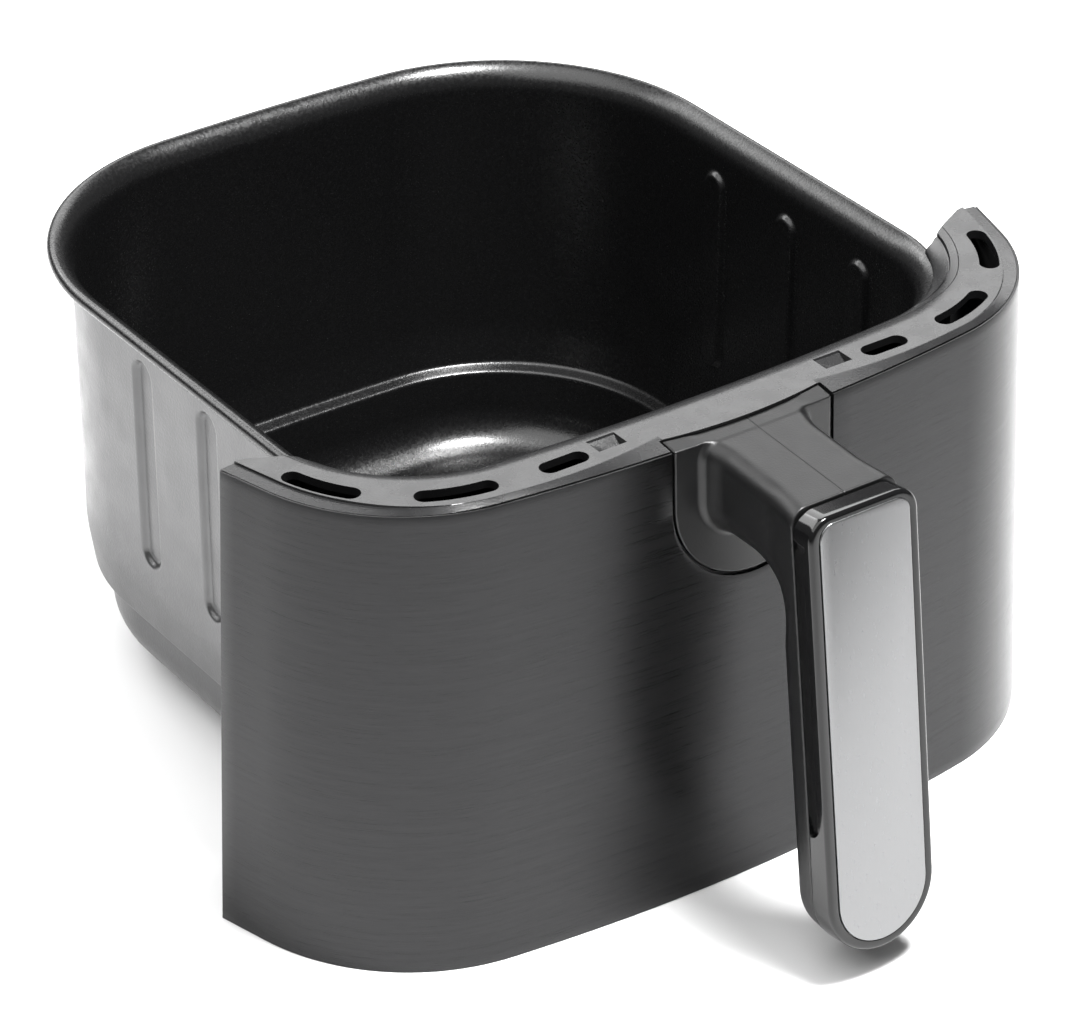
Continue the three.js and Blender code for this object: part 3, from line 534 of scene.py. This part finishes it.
def moulded(name, colour, roughness, grain=0.0006, depth=0.00004, ior=1.5):
    look = Look(name, colour, roughness, ior=ior)
    look.bump(look.noise(size=grain, detail=3), depth)
    look.vary_roughness(look.noise(size=0.008, detail=3), 0.03)
    look.vary_colour(look.noise(size=0.03, detail=3), 0.93, 1.07)
    return look


def bezel_plastic():
    return moulded("bezel_plastic", (0.009, 0.009, 0.0094), 0.27).material


def handle_plastic():
    return moulded("handle_plastic", (0.004, 0.004, 0.0042), 0.4, ior=1.44).material


def gloss_black():
    look = Look("gloss_black", (0.004, 0.004, 0.0042), 0.1, ior=1.4)
    look.vary_roughness(look.noise(size=0.02, detail=4), 0.02)
    look.bump(look.noise(size=0.012), 0.00001)
    look.shader.inputs["Coat Weight"].default_value = 0.1
    look.shader.inputs["Coat Roughness"].default_value = 0.04
    return look.material


def silver_plate():
    look = Look("silver_plate", (0.21, 0.2115, 0.214), 0.3, metallic=1.0)
    grain = look.noise(scale=(60, 60, 1), size=0.03, detail=3)
    look.vary_colour(grain, 0.96, 1.03)
    look.vary_roughness(grain, 0.03)
    return look.material


def inner_plastic():
    return moulded("inner_plastic", (0.022, 0.022, 0.023), 0.55).material


def zinc_steel():
    look = Look("zinc_steel", (0.5, 0.51, 0.52), 0.35, metallic=1.0)
    look.vary_roughness(look.noise(size=0.003, detail=4), 0.08)
    look.vary_colour(look.noise(size=0.004, detail=4), 0.85, 1.1)
    look.bump(look.noise(size=0.0008), 0.00002)
    return look.material


LOOKS = {
    "nonstick_inside": nonstick_inside(),
    "pan_outside": pan_outside(),
    "brushed_skin": brushed_skin(),
    "bezel": bezel_plastic(),
    "handle": handle_plastic(),
    "gloss": gloss_black(),
    "silver": silver_plate(),
    "inner": inner_plastic(),
    "zinc": zinc_steel(),
}

# ------------------------------------------------------------------ pan


def pan_loop(inset, z):
    """One level of the pan, all the way round, with the side grooves pressed in."""
    front = [rim_point(FRONT_CORNER, t, inset) for t in np.linspace(0, FRONT_CORNER["turn"], 5)]
    front += [rim_point(FRONT_CORNER, t, inset) for t in np.linspace(FRONT_CORNER["turn"], 90, 25)[1:]]
    side_x = RIM_HALF_WIDTH - inset
    guard = GROOVE_HALF_WIDTH + GROOVE_GUARD
    steps = [-guard, *np.linspace(-GROOVE_HALF_WIDTH, GROOVE_HALF_WIDTH, 25), guard]
    side = [(side_x, centre + step) for centre in GROOVES for step in steps]
    back = [rim_point(BACK_CORNER, t, inset) for t in np.linspace(90, BACK_CORNER["turn"], 33)]
    back += [rim_point(BACK_CORNER, t, inset) for t in np.linspace(BACK_CORNER["turn"], 0, 4)[1:]]
    right = front + side + back
    loop = right + [(-x, y) for x, y in reversed(right[1:-1])]
    return [(math.copysign(abs(x) - pressed(y, z), x), y, z) for x, y in loop]


def pressed(y, z):
    """How far a groove presses the side wall in: a flat floor, soft sides and round ends."""
    deepest = 0.0
    for centre in GROOVES:
        low, high = GROOVE_LOW + GROOVE_HALF_WIDTH, GROOVE_HIGH - GROOVE_HALF_WIDTH
        off_end = max(low - z, z - high, 0.0)
        away = math.hypot(y - centre, off_end)
        share = 1.0 - float(smooth(away, GROOVE_FLAT * GROOVE_HALF_WIDTH, GROOVE_HALF_WIDTH))
        deepest = max(deepest, share)
    return GROOVE_DEPTH * deepest


def section_arc(inset, z, radius, start, stop, steps):
    return [
        (inset + radius * math.cos(math.radians(a)), z + radius * math.sin(math.radians(a)))
        for a in np.linspace(start, stop, steps + 1)
    ]


def rounded_path(corners, radius, steps=5):
    """A path through corners whose inner corners are rounded off."""
    out = [corners[0]]
    for before, corner, after in zip(corners, corners[1:], corners[2:]):
        b, c, a = (np.array(p, float) for p in (before, corner, after))
        back, on = (b - c) / np.linalg.norm(b - c), (a - c) / np.linalg.norm(a - c)
        reach = min(radius, 0.45 * np.linalg.norm(b - c), 0.45 * np.linalg.norm(a - c))
        start, end = c + back * reach, c + on * reach
        for t in np.linspace(0, 1, steps + 1):
            out.append(tuple((1 - t) ** 2 * start + 2 * t * (1 - t) * c + t * t * end))
    return out + [corners[-1]]


def build_pan():
    flare_inset = WALL_INSET + SHEET - FLARE_RADIUS
    reach = FLARE_RADIUS - RIM_ROLL
    turn = math.degrees(math.acos((RIM_ROLL - flare_inset) / reach))
    roll_z = RIM_TOP - RIM_ROLL
    flare_z = roll_z - reach * math.sin(math.radians(turn))
    groove_levels = np.concatenate([
        [GROOVE_LOW - GROOVE_GUARD],
        np.linspace(GROOVE_LOW, GROOVE_LOW + GROOVE_HALF_WIDTH, 13),
        np.linspace(GROOVE_LOW + GROOVE_HALF_WIDTH, GROOVE_HIGH - GROOVE_HALF_WIDTH, 6)[1:-1],
        np.linspace(GROOVE_HIGH - GROOVE_HALF_WIDTH, GROOVE_HIGH, 13),
        [GROOVE_HIGH + GROOVE_GUARD],
    ])

    def face(offset):
        floor = WELL_INSET + WELL_RADIUS
        well = section_arc(floor, PAN_BOTTOM + WELL_RADIUS, WELL_RADIUS - offset, 270, 180, 12)
        bends = [
            (WELL_INSET + offset, PAN_BOTTOM + WELL_RADIUS + 1),
            (WELL_INSET + offset, LEDGE_Z - LEDGE_DROP + offset),
            (LEDGE_INSET + offset, LEDGE_Z + offset),
            (WALL_INSET + offset, BEND_Z),
            (WALL_INSET + offset, BEND_Z + 8),
        ]
        ledge = rounded_path(bends[:4], LEDGE_FILLET, 6)[:-1]
        bend = rounded_path([ledge[-1], bends[3], bends[4]], BEND_FILLET, 6)[1:]
        wall = [(WALL_INSET + offset, z) for z in groove_levels]
        radius = FLARE_RADIUS - SHEET + offset
        return well + ledge + bend + wall + section_arc(flare_inset, flare_z, radius, 0, turn, 8)

    roll_outer = section_arc(RIM_ROLL, roll_z, RIM_ROLL, turn, 270, 14)[1:]
    roll_inner = section_arc(RIM_ROLL, roll_z, RIM_ROLL - SHEET, turn, 270, 8)[1:]
    inside, outside = face(SHEET), face(0.0)
    levels = inside + roll_outer + roll_inner[::-1] + outside[::-1]
    rows = [pan_loop(inset, z) for inset, z in levels]
    piece = loft(
        "drawn_pan", rows, LOOKS["nonstick_inside"],
        sharp=50, coated_rows=len(inside) + len(roll_outer))
    piece.data.materials.append(LOOKS["pan_outside"])
    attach(piece, "root")
    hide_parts("pan")
    return piece


# ------------------------------------------------------------------ front skin


def build_skin():
    """The bent sheet, as columns of faces that stop at the cut-out for the handle."""
    half = PLATE_HALF_WIDTH + CUT_OUT_GAP
    inside = [half * math.sin(math.radians(a)) for a in np.linspace(-90, 90, 49)]
    side = [(turn, beyond) for turn, beyond in stations(END_LENGTH) if panel_point(turn)[0] > half + 1]
    middle = [(math.degrees(math.asin(x / BOW_RADIUS)), 0.0, x) for x in inside]
    columns = [(-t, b, None) for t, b in reversed(side)] + middle + [(t, b, None) for t, b in side]
    low_rows = np.linspace(0, 1, 41)
    high_rows = np.linspace(PLATE_CENTRE_Z, PANEL_HEIGHT, 7)[1:]
    points, index, faces = [], {}, []
    for c, (turn, beyond, x) in enumerate(columns):
        dip = math.sqrt(max(half ** 2 - x ** 2, 0)) if x is not None else 0.0
        levels = [(r, s * (PLATE_CENTRE_Z - dip)) for r, s in enumerate(low_rows)]
        if x is None or abs(abs(x) - half) < 1e-6:
            levels += [(len(low_rows) + r, z) for r, z in enumerate(high_rows)]
        for r, z in levels:
            index[c, r] = len(points)
            points.append(skin_point(turn, beyond, 0.0, z))
    for c in range(len(columns) - 1):
        across_cut = columns[c][2] is not None and columns[c + 1][2] is not None
        rows = len(low_rows) + (0 if across_cut else len(high_rows))
        for r in range(rows - 1):
            faces.append((index[c, r], index[c + 1, r], index[c + 1, r + 1], index[c, r + 1]))
    piece = make_object("brushed_front", points, faces, LOOKS["brushed_skin"])
    inward = piece.modifiers.new("thickness", "SOLIDIFY")
    inward.thickness = SKIN_THICKNESS * MM
    inward.offset = -1.0
    add_bevel(piece, 0.15, 2, 50)
    apply_modifiers(piece, 40)
    for vertex in piece.data.vertices:
        vertex.co.z = max(vertex.co.z, 0.0)
    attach(piece, "root")
    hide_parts("front_skin")
    return piece


# ------------------------------------------------------------------ bezel


def bevel_width(turn):
    """The bevel widens towards the handle, and stops where the handle cuts it off."""
    if abs(turn) < HANDLE_TURN:
        return BEVEL_WIDTH
    towards_handle = max(0.0, WIDENING_START - abs(panel_point(turn)[0]))
    corner = float(smooth(abs(turn), 10, 60))
    return BEVEL_WIDTH + WIDENING_RATE * towards_handle ** 2 + CORNER_WIDENING * corner


def round_over(turn):
    """(inset, height) pairs over the inner shoulder: a hairline, then a groove that opens at the ends."""
    corner = float(smooth(abs(turn), CORNER_START, CORNER_FULL))
    hairline = HAIRLINE_INSET - HAIRLINE_DRIFT * corner
    groove = SHOULDER_INSET - SHOULDER_DRIFT * corner
    depth = SHOULDER_GROOVE * corner
    ledge = SHOULDER_LEDGE * corner
    cuts = [
        (hairline - HAIRLINE_HALF_WIDTH, 0.0),
        (hairline, HAIRLINE_DEPTH),
        (hairline + HAIRLINE_HALF_WIDTH, 0.0),
        (groove, 0.0), (groove + 0.2, depth), (groove + 0.9, depth), (groove + 1.1, ledge),
    ]
    plain = [(inset, 0.0) for inset in np.linspace(ROUND_START, hairline - 0.5, 5)]
    plain += [(inset, 0.0) for inset in np.linspace(hairline + 0.4, groove - 0.2, 4)]
    plain += [(inset, ledge) for inset in np.linspace(groove + 1.3, LIP_INSET - 0.3, 4)]
    plain += [(LIP_INSET, ledge + 0.2)]
    pairs = []
    for inset, cut in sorted(plain + cuts):
        drop = ROUND_RADIUS - math.sqrt(ROUND_RADIUS ** 2 - (inset - ROUND_START) ** 2)
        pairs.append((inset, BEZEL_TOP - drop - cut))
    return pairs


def bezel_section(turn, beyond):
    """One section of the bezel, up the front, over the top, round to the lip and back underneath."""
    edge = SKIN_THICKNESS + 0.1
    cover = -COVER_NEAR - COVER_WALL
    width = bevel_width(turn)
    step = 0.02 + BEVEL_STEP * float(smooth(abs(turn), CORNER_START, CORNER_FULL))
    raised = BEVEL_RAISE * (1 - float(smooth(abs(turn), BOW_TURN, 30)))

    def outer(inset, z):
        x, y = panel_point(turn, inset, beyond)
        return x, y, z

    def inner(inset, z):
        return beside_rim(turn, beyond / 2, inset, z)

    return [
        outer(edge, BEZEL_FOOT),
        outer(edge, PANEL_HEIGHT + raised),
        outer(width - 0.3, BEZEL_TOP - step - 0.02),
        outer(width - 0.05, BEZEL_TOP - step),
        outer(width + 0.1, BEZEL_TOP),
        *(inner(inset, z) for inset, z in round_over(turn)),
        inner(LIP_INSET, LIP_FOOT),
        inner(-COVER_NEAR, LIP_FOOT),
        inner(-COVER_NEAR, COVER_TOP + 0.3),
        inner(cover, COVER_TOP + 0.3),
        inner(cover, BEZEL_TOP - BEZEL_WALL),
        outer(edge + BEZEL_WALL, BEZEL_TOP - BEZEL_WALL - 0.8),
        outer(edge + BEZEL_WALL, BEZEL_FOOT),
    ]


def slot_outline(centre_line, width):
    """A slot with round ends about a line of (x, y, direction angle) places."""
    half = width / 2
    right = [(x + half * math.sin(a), y - half * math.cos(a)) for x, y, a in centre_line]
    left = [(x - half * math.sin(a), y + half * math.cos(a)) for x, y, a in centre_line]
    caps = []
    for (x, y, a), start in ((centre_line[-1], -90), (centre_line[0], 90)):
        turns = np.radians(np.linspace(start, start + 180, 25)[1:-1]) + a
        caps.append([(x + half * math.cos(t), y + half * math.sin(t)) for t in turns])
    return right + caps[0] + left[::-1] + caps[1]


def vent_outlines():
    found = []
    for low, high in CORNER_VENTS:
        line = []
        for turn in np.linspace(low, high, 15):
            a = math.radians(turn)
            x = CORNER_CENTRE[0] + VENT_RADIUS * math.sin(a)
            line.append((x, CORNER_CENTRE[1] - VENT_RADIUS * math.cos(a), a))
        found.append(slot_outline(line, VENT_WIDTH))
    low, high, y = FRONT_VENT
    found.append(slot_outline([(low, y, 0.0), (high, y, 0.0)], VENT_WIDTH))
    return found + [[(-x, y) for x, y in outline] for outline in found]


def bezel_end_outline(side):
    """What lies behind an end of the bezel, which runs back to the pan at a slant."""
    points = [(CUT_OUTSIDE, BEZEL_BACK), *BEZEL_END, (CUT_INSIDE, BEZEL_END[-1][1])]
    points += [(CUT_INSIDE, CUT_BEHIND), (CUT_OUTSIDE, CUT_BEHIND)]
    return [(side * x, y) for x, y in points]


def seam_outline(half_width, clearance, front):
    """Plan of the handle's top, up to the seam that bulges towards the front in the middle."""
    radius = SEAM_RADIUS + clearance
    turns = np.linspace(-1, 1, 33) * math.asin(half_width / radius)
    arc = [(radius * math.sin(t), SEAM_MIDDLE + SEAM_RADIUS - radius * math.cos(t)) for t in turns]
    return [(half_width, front), *arc[::-1], (-half_width, front)]


def pocket_cutter(x):
    """A shallow pocket whose floor falls away to its front right corner, with slanted long sides."""
    front, back = POCKET["y"] - POCKET["width"] / 2, POCKET["y"] + POCKET["width"] / 2
    right, above, slant = x + POCKET["length"], BEZEL_TOP + 0.02, POCKET["slant"]
    shallow = BEZEL_TOP - 0.6
    floor = [
        (x, front + slant, shallow), (right, front + slant, BEZEL_TOP - POCKET["depth"]),
        (right, back - slant, shallow), (x, back - slant, shallow),
    ]
    top = [(x, front, above), (right, front, above), (right, back, above), (x, back, above)]
    points = floor + top
    faces = [(0, 1, 3), (1, 2, 3), (4, 5, 6, 7), (0, 1, 5, 4), (1, 2, 6, 5), (2, 3, 7, 6), (3, 0, 4, 7)]
    return cutter_object(points, faces)


def sharpen_top(mesh):
    """Keeps the low edge between the bezel's flat and its bevel crisp."""
    bm = bmesh.new()
    bm.from_mesh(mesh)
    for edge in bm.edges:
        level = max(abs(v.co.z / MM - BEZEL_TOP) for v in edge.verts)
        if level < 0.01 and edge.calc_face_angle(0.0) > math.radians(2.5):
            edge.smooth = False
    bm.to_mesh(mesh)
    bm.free()


def build_bezel():
    rows = [bezel_section(turn, beyond) for turn, beyond in stations(END_LENGTH + 6)]
    piece = loft("top_trim", rows, LOOKS["bezel"])
    bm = bmesh.new()
    bm.from_mesh(piece.data)
    bmesh.ops.dissolve_limit(bm, angle_limit=math.radians(0.05), verts=bm.verts, edges=bm.edges)
    bm.to_mesh(piece.data)
    bm.free()
    seam = seam_outline(PLATE_HALF_WIDTH + CUT_OUT_GAP, -SEAM_GAP / 2, -20.0)
    cutters = [prism(outline, VENT_CUT_LOW, CUT_HIGH) for outline in vent_outlines()]
    cutters += [prism(bezel_end_outline(side), CUT_LOW, CUT_HIGH) for side in (-1, 1)]
    cutters += [prism(seam, CUT_LOW, CUT_HIGH)]
    cut_away(piece, cutters)
    add_bevel(piece, 0.35, 5, 42)
    apply_modifiers(piece, 20)
    cut_away(piece, [pocket_cutter(x) for x in POCKET_STARTS])
    finish_mesh(piece.data, 20)
    sharpen_top(piece.data)
    weighted = piece.modifiers.new("weighted", "WEIGHTED_NORMAL")
    weighted.keep_sharp = True
    weighted.weight = 100
    apply_modifiers(piece, None)
    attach(piece, "root")
    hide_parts("top_bezel")
    return piece


# ------------------------------------------------------------------ handle body, from a distance field


def both(a, b, radius):
    """Where two solids overlap, with the edge between them rounded."""
    outside = np.hypot(np.maximum(a + radius, 0), np.maximum(b + radius, 0))
    return np.minimum(np.maximum(a, b), -radius) + outside


def either(a, b, radius):
    """Two solids joined, with a fillet between them."""
    inside = np.hypot(np.maximum(radius - a, 0), np.maximum(radius - b, 0))
    return np.maximum(np.minimum(a, b), radius) - inside


def grip_axes(y, z):
    """Depth behind the grip's front, and height along it."""
    cos, sin = math.cos(GRIP_TILT), math.sin(GRIP_TILT)
    dy, dz = y - GRIP_ORIGIN.y, z - GRIP_ORIGIN.z
    return dy * cos - dz * sin, dy * sin + dz * cos


def behind_skin(x, y, z):
    return y - (x ** 2 / (2 * BOW_RADIUS) - flare_at(z))


def arm_top(y):
    return ARM_TOP + ARM_FALL * y


def arm_field(x, y, z):
    """The arm and the rear shell of the grip, which it sweeps down into."""
    behind, height = grip_axes(y, z)
    width = ARM_HALF_WIDTH + GRIP_WIDENING * (1 - smooth(behind, 8, 24)) + ROOT_WIDENING * smooth(y, -9, 0)
    outline = np.where(height < 0, np.hypot(x, height), np.abs(x)) - width
    under = either(ARM_FOOT - z, behind - GRIP_THICKNESS, ARM_SWEEP)
    under_edge = ARM_EDGE + UNDER_EDGE_GROWTH * smooth(z, 108, 132)
    arm = both(both(outline, z - arm_top(y), ARM_EDGE), under, under_edge)
    arm = both(arm, FRAME_DEPTH + FRAME_GAP - behind, ARM_FRONT_EDGE)
    return np.maximum(arm, behind_skin(x, y, z) - ARM_SINK)


def plate_field(x, y, z):
    """The base plate in the skin's cut-out, with its round foot."""
    round_foot = np.where(z < PLATE_CENTRE_Z, np.hypot(x, z - PLATE_CENTRE_Z), np.abs(x))
    depth = behind_skin(x, y, z)
    return np.maximum(both(round_foot - PLATE_HALF_WIDTH, -depth, PLATE_EDGE), depth - PLATE_THICKNESS)


def tongue_field(x, y, z):
    """The top of the plate, which runs back to the bezel's seam."""
    sides = np.maximum(np.abs(x) - PLATE_HALF_WIDTH, BEZEL_FOOT - z)
    seam = SEAM_RADIUS + SEAM_GAP / 2 - np.hypot(x, y - SEAM_MIDDLE - SEAM_RADIUS)
    return np.maximum(both(sides, seam, TONGUE_EDGE), 1.0 - y)


def handle_field(x, y, z):
    """Signed distance in millimetres to the handle body; negative inside."""
    base = np.minimum(plate_field(x, y, z), tongue_field(x, y, z))
    whole = either(arm_field(x, y, z), base, ROOT_FILLET)
    middle = 1 - smooth(np.abs(x), 18, 22)
    ceiling = middle * arm_top(y) + (1 - middle) * (WING_TOP + WING_FALL * y)
    whole = both(whole, z - ceiling, WING_EDGE)
    whole = whole + LINE_DEPTH * smooth(z, 140, 150) * np.exp(-(x / LINE_HALF_WIDTH) ** 2)
    past_plate = behind_skin(x, y, z) - PLATE_THICKNESS
    return np.maximum(whole, np.minimum(past_plate, BEZEL_FOOT - z))


def surface_net(field, axes):
    """The zero surface of a field as a quad mesh with one point in each cell that it crosses."""
    value = field(*np.meshgrid(*axes, indexing="ij"))
    cells = tuple(n - 1 for n in value.shape)
    total, hits = np.zeros((*cells, 3)), np.zeros(cells)
    grid = np.stack(np.meshgrid(*axes, indexing="ij"), axis=-1)
    quads = []
    for axis in range(3):
        first = [slice(None)] * 3
        second = [slice(None)] * 3
        first[axis], second[axis] = slice(None, -1), slice(1, None)
        a, b = value[tuple(first)], value[tuple(second)]
        crossing = np.argwhere((a < 0) != (b < 0))
        u, v = [n for n in range(3) if n != axis]
        edge = ((crossing[:, [u, v]] > 0) & (crossing[:, [u, v]] < np.array(cells)[[u, v]])).all(1)
        crossing = crossing[edge]
        index = tuple(crossing.T)
        va, vb = a[index], b[index]
        share = (va / (va - vb))[:, None]
        point = grid[tuple(first)][index] * (1 - share) + grid[tuple(second)][index] * share
        around = []
        for du, dv in ((-1, -1), (0, -1), (0, 0), (-1, 0)):
            cell = crossing.copy()
            cell[:, u] += du
            cell[:, v] += dv
            np.add.at(total, tuple(cell.T), point)
            np.add.at(hits, tuple(cell.T), 1)
            around.append(np.ravel_multi_index(tuple(cell.T), cells))
        quad = np.stack(around, axis=1)
        flip = (va < 0) == (axis == 1)
        quad[flip] = quad[flip][:, ::-1]
        quads.append(quad)
    quads = np.concatenate(quads)
    used, faces = np.unique(quads, return_inverse=True)
    points = total.reshape(-1, 3)[used] / hits.reshape(-1, 1)[used]
    return points, faces.reshape(-1, 4)


def gradient(field, p, h=0.02):
    parts = []
    for axis in range(3):
        shift = np.zeros(3)
        shift[axis] = h
        parts.append((field(*(p + shift).T) - field(*(p - shift).T)) / (2 * h))
    return np.stack(parts, axis=1)


def build_handle_body():
    axes = [np.arange(low, high + NET_STEP, NET_STEP) for low, high in HANDLE_BOX]
    near_line = np.linspace(-0.4, 0.4, 9)
    axes[0] = np.unique(np.concatenate([axes[0], near_line]).round(3))
    points, faces = surface_net(handle_field, axes)
    for _ in range(3):
        slope = gradient(handle_field, points)
        size = np.maximum((slope ** 2).sum(1), 0.2)
        step = (handle_field(*points.T) / size)[:, None] * slope
        points = points - np.clip(step, -0.3, 0.3)
    normals = gradient(handle_field, points, 0.1)
    normals /= np.maximum(np.linalg.norm(normals, axis=1), 1e-6)[:, None]
    mesh = bpy.data.meshes.new("handle_shell")
    mesh.from_pydata(place(points).tolist(), [], faces.tolist())
    bm = bmesh.new()
    bm.from_mesh(mesh)
    bmesh.ops.recalc_face_normals(bm, faces=bm.faces)
    bm.to_mesh(mesh)
    bm.free()
    mesh.polygons.foreach_set("use_smooth", np.ones(len(mesh.polygons), bool))
    mesh.normals_split_custom_set_from_vertices(normals.tolist())
    piece = bpy.data.objects.new("handle_shell", mesh)
    bpy.context.scene.collection.objects.link(piece)
    mesh.materials.append(LOOKS["handle"])
    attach(piece, "root")
    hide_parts("handle_body")
    return piece


# ------------------------------------------------------------------ grip front


def grip_stations(sides=()):
    """Places round the grip's front outline: which stretch, and how far along it, from 0 to 1."""
    foot = [("foot", t) for t in np.linspace(0, 1, 65)]
    right = [("right", t) for t in sides]
    corners = [("corner_right", t) for t in np.linspace(0, 1, 17)]
    corners += [("corner_left", t) for t in np.linspace(0, 1, 17)]
    left = [("left", t) for t in reversed(sides)]
    return foot + right + corners + left


def grip_point(station, half_width, top, corner):
    """A point of an outline with a round foot and rounded top corners."""
    stretch, t = station
    if stretch == "foot":
        angle = math.pi * (1 + t)
        return half_width * math.cos(angle), half_width * math.sin(angle)
    if stretch == "right":
        return half_width, t * (top - corner)
    if stretch == "left":
        return -half_width, t * (top - corner)
    if stretch == "corner_right":
        angle = math.pi / 2 * t
        return half_width - corner + corner * math.cos(angle), top - corner + corner * math.sin(angle)
    angle = math.pi / 2 * (1 + t)
    return corner - half_width + corner * math.cos(angle), top - corner + corner * math.sin(angle)


def frame_section(station):
    """The frame's section at a station: (in from the outline, behind the front) pairs."""
    height = grip_point(station, FRAME_HALF_WIDTH, FRAME_TOP, FRAME_CORNER)[1]
    opened = float(smooth(height, SLOT["low"], SLOT["low"] + 1.6))
    opened *= 1 - float(smooth(height, SLOT["high"] - 2, SLOT["high"]))
    up_tip = min(max((height - SLOT["low"]) / SLOT["tip"], 0.0), 1.0)
    tip = SLOT["far"] - 0.5
    near = tip - (tip - SLOT["near"]) * math.sqrt(1 - (1 - up_tip) ** 2)
    depth = SLOT["depth"] * opened if station[0] in ("right", "left") else 0.0
    rounding = [
        (FRAME_EDGE * (1 - math.cos(a)), FRAME_FRONT + FRAME_EDGE * (1 - math.sin(a)))
        for a in np.radians(np.linspace(0, 90, 9))
    ]
    back_edge = [(2.8, FRAME_DEPTH), (0.35, FRAME_DEPTH), (0.1, FRAME_DEPTH - 0.1), (0.0, FRAME_DEPTH - 0.3)]
    slot = [
        (0.0, SLOT["far"]), (depth, SLOT["far"] - 0.1),
        (depth, near + 0.25), (0.4 * depth, near + 0.05), (0.0, near),
    ]
    front_edge = [(2.9, FRAME_FRONT), (3.15, FRAME_FRONT + 0.08), (3.25, FRAME_FRONT + 0.3)]
    inlay_seat = [(3.3, 1.4), (6.0, 1.4), (6.0, 3.0)]
    return back_edge + slot + rounding + front_edge + inlay_seat


def frame_corner(inset):
    """The radius of the top corners, which tightens towards the inlay."""
    return FRAME_CORNER - 0.75 * inset


def build_grip_frame():
    """Lofted round the outline, with close stations where the slot's tip is."""
    near_tip = np.linspace(0.18, 0.26, 33)
    sides = np.concatenate([[0.06, 0.12, 0.17], near_tip, np.linspace(0.3, 0.96, 12), [0.985]])
    places = grip_stations(list(sides))
    rows = []
    for station in places:
        row = []
        for inset, behind in frame_section(station):
            x, height = grip_point(
                station, FRAME_HALF_WIDTH - inset, FRAME_TOP - inset, frame_corner(inset))
            row.append((x, behind, height))
        rows.append(from_grip(row))
    piece = loft("grip_frame", rows, LOOKS["gloss"], closed_rows=True, sharp=40)
    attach(piece, "root")
    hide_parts("handle_front_frame")
    return piece


def build_inlay():
    levels = [(0.0, 1.0), (0.0, 0.35), (0.06, 0.18), (0.2, 0.05), (0.4, 0.0)]
    rows = []
    for inset, behind in levels:
        row = [
            grip_point(s, INLAY_HALF_WIDTH - inset, INLAY_TOP - inset, INLAY_CORNER - inset)
            for s in grip_stations()
        ]
        rows.append(from_grip([(x, behind, height) for x, height in row]))
    piece = loft("grip_inlay", rows, LOOKS["silver"], sharp=40)
    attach(piece, "root")
    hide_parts("handle_inlay")
    return piece


# ------------------------------------------------------------------ CAD nodes that stay


def dress_cad_nodes():
    """Gives every CAD node that is still shown its material."""
    for name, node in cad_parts.items():
        steel = "screw" in name or "nut" in name or "bracket" in name or "mount_plate" in name
        look = LOOKS["zinc"] if steel else LOOKS["inner"]
        for slot in node.material_slots:
            slot.material = look


# ------------------------------------------------------------------ stage, light and camera


def build_floor():
    look = Look("floor", (0.9, 0.9, 0.9), 0.7)
    mesh = bpy.data.meshes.new("floor")
    size = FLOOR_HALF_SIZE * MM
    corners = [(-size, -size, 0), (size, -size, 0), (size, size, 0), (-size, size, 0)]
    mesh.from_pydata(corners, [], [(0, 1, 2, 3)])
    floor = bpy.data.objects.new("floor", mesh)
    bpy.context.scene.collection.objects.link(floor)
    mesh.materials.append(look.material)
    floor.location.z = -FLOOR_DROP * MM


def direction(azimuth, elevation):
    """The unit vector from the drawer towards a viewpoint or a light; 0, 0 is straight in front."""
    a, e = math.radians(azimuth), math.radians(elevation)
    return Vector((math.sin(a) * math.cos(e), -math.cos(a) * math.cos(e), math.sin(e)))


def area_light(name, azimuth, elevation, distance, width, height, power, aim=(0, 0, 0.08), spread=180):
    """A soft box that looks at the drawer from a direction."""
    data = bpy.data.lights.new(name, "AREA")
    data.shape = "RECTANGLE"
    data.size, data.size_y = width, height
    data.energy = power
    data.spread = math.radians(spread)
    lamp = bpy.data.objects.new(name, data)
    away = direction(azimuth, elevation)
    lamp.location = Vector(aim) + away * distance
    lamp.rotation_euler = away.to_track_quat("Z", "Y").to_euler()
    bpy.context.scene.collection.objects.link(lamp)


def build_lights():
    world = bpy.data.worlds.new("studio")
    world.use_nodes = True
    world.node_tree.nodes["Background"].inputs["Color"].default_value = (1, 1, 1, 1)
    world.node_tree.nodes["Background"].inputs["Strength"].default_value = 0.14
    bpy.context.scene.world = world
    bpy.context.scene.view_settings.view_transform = "Standard"
    area_light("backdrop", 150, 34, 2.4, 2.6, 0.8, 30)
    area_light("ceiling", 34, 76, 1.4, 0.32, 0.32, 18, (0, 0, 0), 110)
    area_light("fill", -82, 64, 2.4, 2.4, 2.4, 56)
    area_light("rim_light", -155, 38, 2.4, 2.2, 0.7, 30)


def build_camera():
    """Looks at the target from the photograph's direction, tilted a hair."""
    away = direction(CAMERA_AZIMUTH, CAMERA_ELEVATION)
    data = bpy.data.cameras.new("camera")
    data.lens = CAMERA_LENS
    data.sensor_width = 36.0
    data.clip_end = 50.0
    camera = bpy.data.objects.new("camera", data)
    camera.location = Vector(place(CAMERA_TARGET)[0]) + away * CAMERA_DISTANCE * MM
    camera.rotation_mode = "QUATERNION"
    camera.rotation_quaternion = away.to_track_quat("Z", "Y")
    camera.rotation_quaternion.rotate(Quaternion(away, math.radians(CAMERA_ROLL)))
    bpy.context.scene.collection.objects.link(camera)
    bpy.context.scene.camera = camera


build_camera()
build_floor()
build_lights()
dress_cad_nodes()
build_pan()
build_skin()
build_bezel()
build_handle_body()
build_grip_frame()
build_inlay()

bpy.context.view_layer.update()
